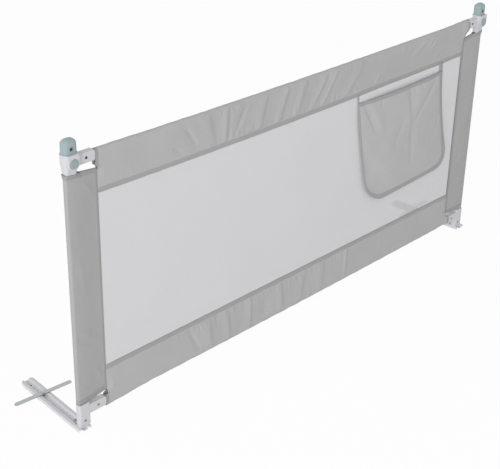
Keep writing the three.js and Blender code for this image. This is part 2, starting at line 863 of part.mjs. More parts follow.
// Inner piece that joins the two halves of a rail
function railJoiner() {
  const depth = railDepth - 2 * tubeWall - 2 * gap;
  const rise = railRise - 2 * tubeWall - 2 * gap;
  const outer = ovalOutline(depth, rise);
  const inner = ovalOutline(depth - 2 * joinerWall, rise - 2 * joinerWall);
  const joiner = drawnAlong(pierced(outer, inner), joinerLength);
  return closed(joiner.translate(-joinerLength / 2, 0, 0));
}

// Cloth

// Shallow gathers: zero on the tube, deepest in the loose cloth
function foldOffset(along, across) {
  const slow = Math.sin((2 * Math.PI * along) / foldPitch);
  const slower = Math.sin((2 * Math.PI * along) / foldPitchTwo);
  return foldDepth * Math.sin(Math.PI * across) * (slow + slower) / 2;
}

// Section of cloth that wraps a tube and closes to a flat hem, as [place, half thickness,
// looseness]; the loose places run from the hem to the tube
function wrapRing(halfRise, halfDepth, loosePlaces, hem, steps) {
  const shoulder = halfRise - halfDepth;
  const reach = -loosePlaces[0];
  const loose = [...loosePlaces, -shoulder].map((place) => {
    const share = (place + reach) / (reach - shoulder);
    return [place, hem + (halfDepth - hem) * THREE.MathUtils.smoothstep(share, 0, 1), 1 - share];
  });
  const ring = [...loose];
  for (let i = 0; i <= steps; i += 1) {
    const angle = (Math.PI * i) / steps;
    ring.push([shoulder + halfDepth * Math.sin(angle), halfDepth * Math.cos(angle), 0]);
  }
  [...loose].reverse().forEach(([place, half, looseness]) => ring.push([place, -half, looseness]));
  return ring;
}

// Outer and inner section of one loop of cloth, sewn to a flat hem along its loose edge
function wrapPair(tubeRise, tubeDepth, loosePlaces) {
  const halfRise = tubeRise / 2 + clothEase;
  const halfDepth = tubeDepth / 2 + clothEase;
  const [hem, ...rest] = loosePlaces;
  const insidePlaces = [hem + hemWidth, ...rest];
  const skin = clothThickness;
  return [
    wrapRing(halfRise + skin, halfDepth + skin, loosePlaces, hemHalfThickness, wrapSteps),
    wrapRing(halfRise, halfDepth, insidePlaces, hemHalfThickness - skin, wrapSteps),
  ];
}

// Band of cloth along X round a rail tube; side is +1 where it stands up and -1 where it hangs.
// Its ends reach further out beside the arm than at the seam of the sleeve.
function band(reach, notch, side) {
  const notchEnd = armRise / 2 + mouldBevel;
  const loosePlaces = [-reach, -(reach + notch) / 2, -notch, -notchEnd];
  const [outer, inner] = wrapPair(railRise, railDepth, loosePlaces);
  const place = (share, stations) => ([rise, depth, loose]) => {
    const flare = THREE.MathUtils.clamp((notch + rise) / (notch - notchEnd), 0, 1);
    const half = THREE.MathUtils.lerp(seamPlace - gap, bandPlace, flare);
    const fade = Math.min(1, (1 - Math.abs(share)) * stations / 4);
    const shift = foldOffset(share * half, loose * 0.85) * fade;
    return new THREE.Vector3(share * half, -depth + shift, -side * rise);
  };
  const shares = Array.from({ length: bandStations + 1 }, (_, k) => (2 * k) / bandStations - 1);
  return closed(hollowLoft(
    shares.map((share) => outer.map(place(share, bandStations))),
    shares.map((share) => inner.map(place(share, bandStations))),
  ));
}

// Sleeve of cloth down a post; drawn for the left post, with its seam at +X
function sleeve() {
  const loosePlaces = [-seamReach, -seamReach * 0.7, -seamReach * 0.4];
  const [outer, inner] = wrapPair(postWidth, postDepth, loosePlaces);
  const place = (share) => ([wide, deep, loose]) => {
    const bottom = sleeveBottom + hemRise * loose ** 2;
    const z = THREE.MathUtils.lerp(bottom, sleeveTop, share);
    const fade = Math.min(1, Math.min(share, 1 - share) * sleeveStations);
    return new THREE.Vector3(-wide, -deep + foldOffset(z, loose * 0.85) * fade * 0.5, z);
  };
  const shares = Array.from({ length: sleeveStations + 1 }, (_, k) => k / sleeveStations);
  return closed(hollowLoft(
    shares.map((share) => outer.map(place(share))),
    shares.map((share) => inner.map(place(share))),
  ));
}

function meshWindow() {
  const width = 2 * (seamPlace - gap);
  const rise = topBandBottom - bottomBandTop - 2 * gap;
  return new THREE.BoxGeometry(width, meshThickness, rise);
}

// How far the rounded corner at the foot of the pocket draws its side in
function pocketCornerInset(radius, fromBottom) {
  const below = Math.max(0, radius - fromBottom);
  return radius - Math.sqrt(Math.max(0, radius ** 2 - below ** 2));
}

// Place on the pocket: across is 0 to 1 from left to right, down is 0 to 1 from its top
function pocketPlace(across, down, topDrop) {
  const fallen = (topDrop + down * (pocketDepth - topDrop)) / pocketDepth;
  const fromBottom = pocketDepth * (1 - fallen);
  const leftInset = pocketCornerInset(pocketLeftCorner, fromBottom);
  const rightInset = pocketCornerInset(pocketRightCorner, fromBottom);
  const left = pocketLeft + pocketLeftLean * fallen ** 1.4 + leftInset;
  const right = pocketRight + pocketRightLean * fallen ** 2 - rightInset;
  const x = THREE.MathUtils.lerp(left, right, across);
  const z = topBandBottom - gap - (pocketDepth + pocketTilt * (0.5 - across)) * fallen;
  return { x, z, back: -pocketBackTop - pocketBackTilt * fallen };
}

const rowShare = (share) => 1 - (1 - share) ** 1.35;

function pocketBack() {
  const point = (across, down, thickness) => {
    const place = pocketPlace(across, rowShare(down), 0);
    return new THREE.Vector3(place.x, place.back + thickness, place.z);
  };
  return closed(sheetSolid(
    pocketColumns / 2,
    pocketRows,
    (across, down) => point(across, down, 0),
    (across, down) => point(across, down, pocketSheet),
  ));
}

// Front of the pocket: sewn to the back round its sides and bottom, open along its mouth
function pocketFront() {
  const point = (across, down, thickness) => {
    const sag = pocketMouthSag * Math.sin(Math.PI * across) * (1 - down) ** 2;
    const place = pocketPlace(across, rowShare(down), pocketMouthDrop + sag);
    const edge = Math.sin(Math.PI * across) ** 0.5;
    const low = Math.sqrt(Math.max(0, 1 - down ** 4));
    const belly = (pocketMouthGap + pocketBulge * Math.sin(Math.PI * down ** 0.8) ** 0.8) * edge * low;
    const crease = pocketFold * edge * low * Math.cos(2 * Math.PI * across);
    const y = place.back - gap - pocketSheet - belly - crease + thickness;
    return new THREE.Vector3(place.x, y, place.z);
  };
  return closed(sheetSolid(
    pocketColumns,
    pocketRows,
    (across, down) => point(across, down, 0),
    (across, down) => point(across, down, pocketSheet),
  ));
}

// Assembly
const part = new THREE.Group();
const panel = new THREE.Group();
panel.position.y = -standOff;
part.add(panel);
const posts = {};
const feet = {};
for (const [name, sign] of [['left', -1], ['right', 1]]) {
  posts[name] = new THREE.Group();
  posts[name].position.x = sign * postPlace;
  panel.add(posts[name]);
  feet[name] = new THREE.Group();
  feet[name].position.x = sign * footShift;
  feet[name].rotation.z = sign * splay;
  posts[name].add(feet[name]);
}

function add(parent, name, geometry, material, x, y, z, turn = 0) {
  const mesh = new THREE.Mesh(closed(geometry), material);
  mesh.name = name;
  mesh.position.set(x, y, z);
  mesh.rotation.z = THREE.MathUtils.degToRad(turn);
  parent.add(mesh);
}

// A piece drawn for the left side and its mirror image for the right one
function addPair(sides, name, geometry, material, x, y, z, turn = 0) {
  add(sides.left, `left_${name}`, geometry, material(), x, y, z, turn);
  add(sides.right, `right_${name}`, mirrored(geometry), material(), -x, y, z, -turn);
}

const armScrewPlace = armReach - armScrewInset;
const seatY = -armDepth / 2 + screwSeatDepth - gap;
const forwardScrew = screw().rotateX(Math.PI);
const downScrew = screw(lugRise + footSheet + 2 * gap).rotateX(Math.PI / 2);

addPair(feet, 'foot', foot(), paintedSteel, 0, 0, 0);
addPair(posts, 'base', baseFitting(), whitePlastic, 0, 0, 0);
addPair(posts, 'lower_tube', lowerTube(), aluminium, 0, 0, baseSocketFloor + gap);
addPair(posts, 'tube_bush', tubeBush(), guidePlastic, 0, 0, lowerTubeTop + gap);
addPair(posts, 'guide_shoe', guideShoe(), guidePlastic, 0, 0, shoeBottom);
addPair(posts, 'upper_tube', upperTube(), aluminium, 0, 0, shoeTop + gap);
addPair(posts, 'top_fitting', topFitting(), whitePlastic, 0, 0, topRailHeight);
addPair(posts, 'cap', cap(), tealPlastic, 0, 0, collarTop + gap);
addPair(posts, 'button', button(), buttonPlastic, 0, -buttonFace, topRailHeight);
const springPlace = -faceFront + lipDepth + gap + flangeThickness + gap + springWire / 2;
addPair(posts, 'button_spring', buttonSpring(), springSteel, 0, springPlace, topRailHeight);
addPair(posts, 'sleeve', sleeve(), greyCloth, 0, 0, 0);
addPair(feet, 'cross_bar', crossBar(), brightSteel, 0, crossBarPlace, footHeight + gap, -crossBarTurn);
addPair(feet, 'pivot_rivet', pivotRivet(), brightSteel, 0, crossBarPlace, 0);
addPair(posts, 'top_arm_screw', forwardScrew, brightSteel, armScrewPlace, seatY, topRailHeight);
addPair(posts, 'base_arm_screw', forwardScrew, brightSteel, armScrewPlace, seatY, bottomRailHeight);
const baseSeat = -baseDepth / 2 + baseRecessDepth + screwSeatDepth - gap;
addPair(posts, 'base_screw', forwardScrew, brightSteel, 0, baseSeat, baseScrewHeight);
const capSeat = -capDepth / 2 + capRecessDepth - gap;
addPair(posts, 'cap_screw', forwardScrew, brightSteel, 0, capSeat, collarTop + capScrewHeight);
const lugTop = grooveFloor + gap + lugRise;
addPair(feet, 'foot_screw', downScrew, brightSteel, 0, lugReach - lugScrewInset, lugTop + gap);

// Rails, each in two halves that meet over an inner joiner
for (const [name, height] of [['top', topRailHeight], ['bottom', bottomRailHeight]]) {
  const halfRail = railTube(railEnd - gap);
  add(panel, `${name}_rail_left`, halfRail, aluminium(), -railEnd, 0, height);
  add(panel, `${name}_rail_right`, mirrored(halfRail), aluminium(), railEnd, 0, height);
  add(panel, `${name}_rail_joiner`, railJoiner(), guidePlastic(), 0, 0, height);
}

const topBand = band(topRailHeight - topBandBottom, topRailHeight - sleeveTop - gap, -1);
const bottomBand = band(bottomBandTop - bottomRailHeight, sleeveBottom - bottomRailHeight - gap, 1);
add(panel, 'top_band', topBand, greyCloth(), 0, 0, topRailHeight);
add(panel, 'bottom_band', bottomBand, greyCloth(), 0, 0, bottomRailHeight);
const windowMiddle = (topBandBottom + bottomBandTop) / 2;
add(panel, 'mesh_window', meshWindow(), paleNet(), 0, 0, windowMiddle);
add(panel, 'pocket_back', pocketBack(), paleNet(), 0, 0, 0);
add(panel, 'pocket_front', pocketFront(), greyCloth(), 0, 0, 0);

export default part;
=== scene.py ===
# Bed guard rail with a drop side: finishes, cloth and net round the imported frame.
# Metres, +Z up; -Y is the outer side, which the camera sees.
import math
import random

import bmesh
import bpy
import numpy as np
from mathutils import Matrix, Vector


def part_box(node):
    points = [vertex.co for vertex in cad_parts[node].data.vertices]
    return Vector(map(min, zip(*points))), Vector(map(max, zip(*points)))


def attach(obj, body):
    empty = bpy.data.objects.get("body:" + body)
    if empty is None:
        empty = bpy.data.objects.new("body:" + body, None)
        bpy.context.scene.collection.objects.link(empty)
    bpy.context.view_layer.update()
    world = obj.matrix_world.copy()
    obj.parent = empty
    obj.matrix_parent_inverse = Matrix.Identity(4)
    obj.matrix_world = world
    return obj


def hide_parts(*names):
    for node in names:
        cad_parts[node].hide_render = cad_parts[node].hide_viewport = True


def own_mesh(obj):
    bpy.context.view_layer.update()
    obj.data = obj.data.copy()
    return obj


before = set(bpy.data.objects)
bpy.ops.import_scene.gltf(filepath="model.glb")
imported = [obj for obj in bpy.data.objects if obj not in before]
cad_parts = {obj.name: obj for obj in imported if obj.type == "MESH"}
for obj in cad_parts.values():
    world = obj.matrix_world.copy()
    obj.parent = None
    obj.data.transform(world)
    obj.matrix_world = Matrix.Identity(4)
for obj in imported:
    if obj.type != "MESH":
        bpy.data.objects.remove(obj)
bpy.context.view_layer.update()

MM = 0.001


def span(box, axis):
    """Middle and half length of a box along one axis"""
    low, high = (getattr(corner, axis) for corner in box)
    return (low + high) / 2, (high - low) / 2


# Places that follow from the frame
RAIL_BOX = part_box("top_rail_left")
POST_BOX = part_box("right_lower_tube")
SLEEVE_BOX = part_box("right_sleeve")
TOP_BAND_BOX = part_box("top_band")
LOW_BAND_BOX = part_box("bottom_band")
NET_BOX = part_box("mesh_window")
PANEL_Y, RAIL_HALF_DEPTH = span(RAIL_BOX, "y")
TOP_RAIL_Z, RAIL_HALF_RISE = span(RAIL_BOX, "z")
LOW_RAIL_Z, _ = span(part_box("bottom_rail_left"), "z")
POST_X, POST_HALF_WIDTH = span(POST_BOX, "x")
_, POST_HALF_DEPTH = span(POST_BOX, "y")
SEAM_X = SLEEVE_BOX[0].x

# Cloth: its thickness, its room round a bar, and half the thickness of a flat hem
CLOTH_SKIN = 0.7 * MM
CLOTH_EASE = 0.9 * MM
HEM_HALF = 1.3 * MM
# Tape on a hem or seam: its rise over the cloth, and half the thickness of the hem across it
TAPE_RISE = 0.55 * MM
TAPE_HALF = HEM_HALF + TAPE_RISE * np.array([0.2, 0.8, 1, 1, 0.8, 0])


# Materials

WEAVE_MAP = "Weave"
TAPE_ATTRIBUTE = "tape_reach"
TAPE_BLUR = 0.3 * MM
MOTTLE = 0.05
SLUB_STRETCH = (1, 12, 1)
NET_HOLE = 1.3 * MM
HOLE_COVER = 0.52
GLOSS_SPREAD = 0.06
# Height of the slubs over that of the weave
SLUB_RISE = 1.5


def new_material(name):
    material = bpy.data.materials.new(name)
    material.use_nodes = True
    tree = material.node_tree
    return material, tree, tree.nodes["Principled BSDF"]


def fill(tree, node, inputs):
    """Sets inputs of a node, given by name or number, to a value or links them to an output"""
    for key, value in inputs.items():
        if isinstance(value, bpy.types.NodeSocket):
            tree.links.new(value, node.inputs[key])
        else:
            node.inputs[key].default_value = value


def add_node(tree, kind, inputs=None, **settings):
    node = tree.nodes.new(kind)
    for key, value in settings.items():
        setattr(node, key, value)
    fill(tree, node, inputs or {})
    return node


def math_node(tree, operation, *values):
    node = add_node(tree, "ShaderNodeMath", dict(enumerate(values)), operation=operation)
    return node.outputs[0]


def noise(tree, place, scale, detail=3.0, roughness=0.5):
    inputs = {"Vector": place, "Scale": scale, "Detail": detail, "Roughness": roughness}
    return add_node(tree, "ShaderNodeTexNoise", inputs).outputs["Fac"]


def spread(tree, value, low, high):
    """value, which runs from 0 to 1, as a value from low to high"""
    inputs = {"Value": value, "To Min": low, "To Max": high}
    return add_node(tree, "ShaderNodeMapRange", inputs).outputs["Result"]


def tinted(tree, colour, factor):
    """colour, a value or an output, times factor, an output that stays near 1"""
    node = add_node(tree, "ShaderNodeVectorMath", {0: colour, "Scale": factor}, operation="SCALE")
    return node.outputs["Vector"]


def stretched_place(tree, place, scale):
    node = add_node(tree, "ShaderNodeMapping", {"Vector": place, "Scale": scale})
    return node.outputs["Vector"]


def bump(tree, shader, height, distance, strength):
    inputs = {"Height": height, "Distance": distance, "Strength": strength}
    node = add_node(tree, "ShaderNodeBump", inputs)
    fill(tree, shader, {"Normal": node.outputs["Normal"]})


def object_place(tree):
    return add_node(tree, "ShaderNodeTexCoord").outputs["Object"]


def weave_waves(tree, pitch):
    """Places in the weave, with sine waves of one pitch across and up it"""
    place = add_node(tree, "ShaderNodeUVMap", uv_map=WEAVE_MAP).outputs["UV"]
    split = add_node(tree, "ShaderNodeSeparateXYZ", {0: place})
    turns = [math_node(tree, "MULTIPLY", split.outputs[axis], 2 * math.pi / pitch) for axis in "XY"]
    return place, *(math_node(tree, "SINE", turn) for turn in turns)


def with_tape(tree, colour, tape_colour):
    """colour, or tape_colour where the attribute that marks the tape lies above zero"""
    reach = add_node(tree, "ShaderNodeAttribute", attribute_name=TAPE_ATTRIBUTE).outputs["Fac"]
    blur = {"Value": reach, "From Min": -TAPE_BLUR, "From Max": TAPE_BLUR}
    edge = add_node(tree, "ShaderNodeMapRange", blur).outputs["Result"]
    colours = {"Factor": edge, "A": colour, "B": tape_colour}
    return add_node(tree, "ShaderNodeMix", colours, data_type="VECTOR").outputs["Result"]


def cloth_material(name, colour, thread=0.55 * MM, sheen=0.12, tape_colour=None):
    """Plain woven polyester: threads over and under, faint slubs and a soft bloom"""
    material, tree, shader = new_material(name)
    weave_place, warp, weft = weave_waves(tree, 2 * thread)
    weave = math_node(tree, "MULTIPLY", warp, weft)
    slub = noise(tree, stretched_place(tree, weave_place, SLUB_STRETCH), scale=160, detail=2)
    place = object_place(tree)
    shade = spread(tree, noise(tree, place, scale=9), 1 - MOTTLE, 1 + MOTTLE)
    shade = math_node(tree, "ADD", shade, spread(tree, slub, -MOTTLE, MOTTLE))
    fine = noise(tree, place, scale=420, detail=2)
    shade = math_node(tree, "ADD", shade, spread(tree, fine, -MOTTLE, MOTTLE))
    shade = math_node(tree, "ADD", shade, math_node(tree, "MULTIPLY", weave, MOTTLE))
    dye = with_tape(tree, colour, tape_colour) if tape_colour else colour
    fill(tree, shader, {
        "Base Color": tinted(tree, dye, shade),
        "Roughness": spread(tree, slub, low=0.78, high=0.95),
        "Specular IOR Level": 0.25,
        "Sheen Weight": sheen,
        "Sheen Roughness": 0.5,
    })
    height = math_node(tree, "ADD", weave, math_node(tree, "MULTIPLY", slub, SLUB_RISE))
    bump(tree, shader, height, distance=0.08 * MM, strength=0.8)
    return material


def net_material(name, colour):
    """Knitted net: staggered holes, thin cover in each, in a close ground of yarn"""
    material, tree, shader = new_material(name)
    _, across, upward = weave_waves(tree, 2 * NET_HOLE)
    cells = math_node(tree, "ABSOLUTE", math_node(tree, "MULTIPLY", across, upward))
    holes = {"Value": cells, "From Min": 0.8, "From Max": 0.4, "To Min": HOLE_COVER}
    ground = add_node(tree, "ShaderNodeMapRange", holes, interpolation_type="SMOOTHSTEP")
    cover = ground.outputs["Result"]
    broad = noise(tree, object_place(tree), scale=5)
    shade = math_node(tree, "MULTIPLY", spread(tree, broad, 0.97, 1.03), spread(tree, cover, 0.8, 1.03))
    fill(tree, shader, {
        "Base Color": tinted(tree, colour, shade),
        "Alpha": cover,
        "Roughness": 0.85,
        "Specular IOR Level": 0.2,
    })
    bump(tree, shader, cover, distance=0.25 * MM, strength=0.6)
    return material


def plastic_material(name, colour, roughness):
    """Moulded plastic: fine spark-eroded grain with slightly uneven gloss"""
    material, tree, shader = new_material(name)
    place = object_place(tree)
    broad = noise(tree, place, scale=40)
    fill(tree, shader, {
        "Base Color": tinted(tree, colour, spread(tree, broad, 0.97, 1.03)),
        "Roughness": spread(tree, broad, roughness - GLOSS_SPREAD, roughness + GLOSS_SPREAD),
    })
    bump(tree, shader, noise(tree, place, scale=1800, roughness=0.6), distance=0.03 * MM, strength=0.5)
    return material


def painted_material(name, colour):
    """Powder coat on sheet steel: orange peel and a soft gloss"""
    material, tree, shader = new_material(name)
    place = object_place(tree)
    broad = noise(tree, place, scale=25, detail=4)
    fill(tree, shader, {
        "Base Color": tinted(tree, colour, spread(tree, broad, 0.98, 1.02)),
        "Roughness": spread(tree, broad, low=0.42, high=0.52),
        "Specular IOR Level": 0.8,
        "Coat Weight": 0.2,
    })
    peel = noise(tree, place, scale=700, detail=2, roughness=0.4)
    bump(tree, shader, peel, distance=0.008 * MM, strength=0.3)
    return material


def metal_material(name, colour, roughness, brush):
    """Bare metal; brush scales its scratches, which run along the axis where it is least"""
    material, tree, shader = new_material(name)
    place = object_place(tree)
    scratches = noise(tree, stretched_place(tree, place, brush), scale=900, roughness=0.6)
    stains = noise(tree, place, scale=60, detail=4, roughness=0.6)
    fill(tree, shader, {
        "Base Color": tinted(tree, colour, spread(tree, stains, 0.9, 1.06)),
        "Roughness": spread(tree, scratches, roughness - 0.1, roughness + 0.12),
        "Metallic": 1,
    })
    bump(tree, shader, scratches, distance=0.02 * MM, strength=0.4)
    return material


GREY_CLOTH = cloth_material("grey_cloth", (0.45, 0.45, 0.45))
SLEEVE_CLOTH = cloth_material("sleeve_cloth", (0.397, 0.397, 0.399), sheen=0.08)
POCKET_CLOTH = cloth_material("pocket_cloth", (0.475, 0.475, 0.477), tape_colour=(0.36, 0.36, 0.363))
HEM_CLOTH = cloth_material("hem_cloth", (0.335, 0.335, 0.335), sheen=0.05)
# Seam tape on the sleeves: partly its own darker grey, partly painted shade along the seam
SEAM_TAPE_AND_SHADE = cloth_material("seam_tape_and_shade", (0.335, 0.335, 0.335), thread=0.4 * MM, sheen=0.03)
TAPE = cloth_material("binding_tape", (0.37, 0.37, 0.372), thread=0.4 * MM, sheen=0.05)
PALE_NET = net_material("pale_net", (0.608, 0.608, 0.63))
# The same net as the window, painted lighter to cancel the shade that the pocket's front casts on it
POCKET_NET_PAINTED_LIGHT = net_material("pocket_net_painted_light", (0.76, 0.76, 0.78))
WHITE_PLASTIC = plastic_material("white_plastic", (0.58, 0.58, 0.608), 0.46)
TEAL_PLASTIC = plastic_material("teal_plastic", (0.3, 0.378, 0.392), 0.38)
BUTTON_PLASTIC = plastic_material("button_plastic", (0.285, 0.355, 0.35), 0.36)
GUIDE_PLASTIC = plastic_material("guide_plastic", (0.107, 0.127, 0.127), 0.5)
# Near-black painted shade that stands for the small hole near the tip of each foot
HOLE_SHADE_PAINT = plastic_material("hole_shade_paint", (0.03, 0.032, 0.034), 0.6)
WHITE_PAINT = painted_material("white_paint", (0.64, 0.64, 0.67))
STRIP_STEEL = metal_material("strip_steel", (0.465, 0.49, 0.49), 0.42, brush=(1, 30, 30))
SCREW_STEEL = metal_material("screw_steel", (0.08, 0.082, 0.085), 0.26, brush=(1, 1, 1))
PALE_SCREW_STEEL = metal_material("pale_screw_steel", (0.3, 0.305, 0.31), 0.35, brush=(1, 1, 1))
TUBE_METAL = metal_material("tube_metal", (0.6, 0.61, 0.63), 0.35, brush=(12, 12, 1))
SPRING_STEEL = metal_material("spring_steel", (0.33, 0.34, 0.36), 0.3, brush=(1, 1, 1))

# The first word here that a node's name holds gives its finish; cloth is what is left
CAD_FINISHES = (
    ("joiner", GUIDE_PLASTIC), ("base_arm_screw", PALE_SCREW_STEEL), ("base_screw", PALE_SCREW_STEEL),
    ("foot_screw", PALE_SCREW_STEEL), ("screw", SCREW_STEEL), ("rivet", STRIP_STEEL),
    ("spring", SPRING_STEEL), ("bush", GUIDE_PLASTIC), ("shoe", GUIDE_PLASTIC),
    ("button", BUTTON_PLASTIC), ("cap", TEAL_PLASTIC), ("fitting", WHITE_PLASTIC),
    ("cross_bar", STRIP_STEEL), ("foot", WHITE_PAINT), ("base", WHITE_PLASTIC),
    ("tube", TUBE_METAL), ("rail", TUBE_METAL),
)
WELD_GAP = 0.01 * MM
SOFT_EDGE = 0.5 * MM
SHARPEST_SOFT_ANGLE = math.radians(32)
FACE_SIZE_WEIGHT = 80


def finish_of(node_name):
    return next((finish for word, finish in CAD_FINISHES if word in node_name), GREY_CLOTH)


def finish_cad_node(name, node):
    """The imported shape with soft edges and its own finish"""
    node.data.materials.clear()
    node.data.materials.append(finish_of(name))
    weld = node.modifiers.new("weld", "WELD")
    weld.merge_threshold = WELD_GAP
    bevel = node.modifiers.new("soft_edges", "BEVEL")
    bevel.width = SOFT_EDGE
    bevel.segments = 2
    bevel.limit_method = "ANGLE"
    bevel.angle_limit = SHARPEST_SOFT_ANGLE
    node.data.polygons.foreach_set("use_smooth", [True] * len(node.data.polygons))
    normals = node.modifiers.new("even_normals", "WEIGHTED_NORMAL")
    normals.weight = FACE_SIZE_WEIGHT


# Meshes

def new_object(name, data):
    thing = bpy.data.objects.new(name, data)
    bpy.context.scene.collection.objects.link(thing)
    return thing


def grid_faces(rows, columns, closed):
    """Quads over a grid of points in rows; closed joins the last column to the first"""
    faces = []
    for r in range(rows - 1):
        for c in range(columns if closed else columns - 1):
            d = (c + 1) % columns
            faces.append((r * columns + c, r * columns + d, (r + 1) * columns + d, (r + 1) * columns + c))
    return faces


def grid_object(name, places, weave, material, skin=0.0, closed=False):
    """A surface over a grid, from its x, y and z and its two places in the weave, in metres"""
    rows, columns = places[0].shape
    points = np.stack(places, axis=2).reshape(-1, 3)
    mesh = bpy.data.meshes.new(name)
    mesh.from_pydata(points.tolist(), [], grid_faces(rows, columns, closed))
    layer = mesh.uv_layers.new(name=WEAVE_MAP)
    corners = np.zeros(len(mesh.loops), int)
    mesh.loops.foreach_get("vertex_index", corners)
    layer.data.foreach_set("uv", np.stack(weave, axis=2).reshape(-1, 2)[corners].ravel())
    mesh.polygons.foreach_set("use_smooth", [True] * len(mesh.polygons))
    mesh.materials.append(material)
    thing = new_object(name, mesh)
    if skin:
        solid = thing.modifiers.new("skin", "SOLIDIFY")
        solid.thickness = skin
        solid.offset = 0
    return thing


def paint_faces(thing, material, chosen):
    """Gives the faces whose numbers are in the arrays chosen another material"""
    mesh = thing.data
    mesh.materials.append(material)
    index = np.zeros(len(mesh.polygons), int)
    mesh.polygons.foreach_get("material_index", index)
    index[np.concatenate([faces.ravel() for faces in chosen])] = len(mesh.materials) - 1
    mesh.polygons.foreach_set("material_index", index)


def smoothstep(x):
    x = np.clip(x, 0, 1)
    return x * x * (3 - 2 * x)


def ramp(x, start, run):
    """0 on one side of start, 1 beyond start + run, and smooth between; run may be negative"""
    return smoothstep((x - start) / run)


def lengths_across(x, y, z):
    """Distance run along each row of a grid"""
    steps = np.linalg.norm(np.diff([x, y, z], axis=2), axis=0)
    return np.insert(np.cumsum(steps, axis=1), 0, 0, axis=1)


# Folds, gathers and sag

RAIL_BOW = 6 * MM
# Narrowest and widest pucker in mm, and the number of waves in a wander
PUCKER_WIDTHS = (2.6, 5.0)
WANDER_WAVES = 5


def bell(x):
    return np.exp(-x * x)


def rail_bow(x):
    """How far the top rail gives way below its straight line, most a little left of its middle"""
    share = np.clip((x - TOP_BAND_BOX[0].x) / (TOP_BAND_BOX[1].x - TOP_BAND_BOX[0].x), 0, 1)
    return RAIL_BOW * np.sin(math.pi * share ** 0.8)


def fold(x, z, start, end, width_left, width_right, height):
    """Height over (x, z) of a fold from start, its upper end, to end, all in metres. It is highest
    midway, and its two sides have widths of their own, so that one can fall off sharply."""
    run_x, run_z = end[0] - start[0], end[1] - start[1]
    from_x, from_z = x - start[0], z - start[1]
    share = np.clip((from_x * run_x + from_z * run_z) / (run_x ** 2 + run_z ** 2), 0, 1)
    away = np.hypot(from_x - share * run_x, from_z - share * run_z)
    right_side = run_x * from_z - run_z * from_x > 0
    width = np.where(right_side, width_right, width_left)
    return height * bell(away / width) * (0.4 + 0.6 * np.sin(math.pi * (0.12 + 0.76 * share)))


def placed_folds(x, z, rows):
    """Sum of the folds in rows of x, z, x, z, left width, right width and height in mm"""
    total = np.zeros_like(x)
    for row in rows:
        x_high, z_high, x_low, z_low, left, right, height = (value * MM for value in row)
        total += fold(x, z, (x_high, z_high), (x_low, z_low), left, right, height)
    return total


def puckers(x, z, seam_z, direction, zones, seed):
    """Small gathers that start at a sewn line and run out into the cloth"""
    rng = random.Random(seed)
    total = np.zeros_like(x)
    for start, end, pitch, reach, height in zones:
        place = start
        while place < end:
            place += pitch * rng.uniform(0.6, 1.4) * MM
            long = reach * rng.uniform(0.5, 1.3) * MM
            lean = long * rng.uniform(-0.25, 0.45)
            width = rng.uniform(*PUCKER_WIDTHS) * MM
            rise = height * rng.uniform(0.35, 1.0) * rng.choice((1, 1, -0.8)) * MM
            near, far = (place, seam_z), (place + lean, seam_z + direction * long)
            high, low = (far, near) if direction > 0 else (near, far)
            total += fold(x, z, high, low, width, width, rise)
    return total


def wander(along, across, seed, pitch):
    """Slow uneven waves from -1 to 1"""
    rng = random.Random(seed)
    total = np.zeros_like(along)
    for _ in range(WANDER_WAVES):
        turn = rng.uniform(-0.6, 0.6)
        phase = rng.uniform(0, 2 * math.pi)
        length = pitch * rng.uniform(0.6, 1.7)
        run = along * math.cos(turn) + across * math.sin(turn)
        total += np.sin(2 * math.pi * run / length + phase)
    return total / WANDER_WAVES


# Bands round the rails

# Folds as x, z of the upper end, x, z of the lower end, left and right width, height, in mm
TOP_FOLDS = [
    (-770, 806, -630, 802, 11, 11, -1.0),
    (-505, 815, -457, 744, 11, 6, -1.9),
    (-535, 748, -500, 720, 7, 5, -1.3),
    (-422, 815, -392, 720, 30, 13, 2.2),
    (-346, 820, -346, 716, 14, 10, 1.7),
    (-330, 815, -330, 720, 8, 8, -0.8),
    (-265, 812, -297, 742, 9, 7, -1.6),
    (-190, 815, -215, 716, 28, 12, 2.4),
    (-98, 815, -128, 716, 20, 8, 2.2),
    (-28, 808, -52, 712, 14, 14, 2.0),
    (70, 808, 15, 716, 12, 9, 1.8),
    (122, 814, 66, 718, 11, 8, 1.7),
    (240, 806, 172, 716, 18, 12, 1.8),
    (335, 745, 322, 716, 6, 5, 1.0),
    (462, 822, 455, 800, 7, 6, 0.9),
    (578, 814, 518, 774, 9, 8, 1.3),
    (616, 824, 600, 792, 7, 6, 1.7),
    (640, 800, 612, 770, 8, 7, 1.0),
    (692, 768, 640, 738, 7, 7, 0.8),
]
LOW_FOLDS = [
    (-488, 152, -448, 62, 10, 8, -1.6),
    (-412, 150, -402, 60, 26, 9, 1.9),
    (-334, 150, -326, 60, 20, 8, 1.9),
    (-226, 152, -233, 66, 20, 5, 2.0),
    (-166, 125, -160, 52, 20, 20, -1.8),
    (-96, 150, -94, 58, 16, 11, 1.9),
    (12, 150, -6, 58, 32, 11, 2.0),
    (108, 148, 95, 58, 28, 11, 1.8),
    (227, 154, 221, 60, 9, 5, 1.7),
    (420, 148, 402, 80, 16, 12, 0.7),
    (610, 140, 596, 70, 14, 12, 0.6),
]
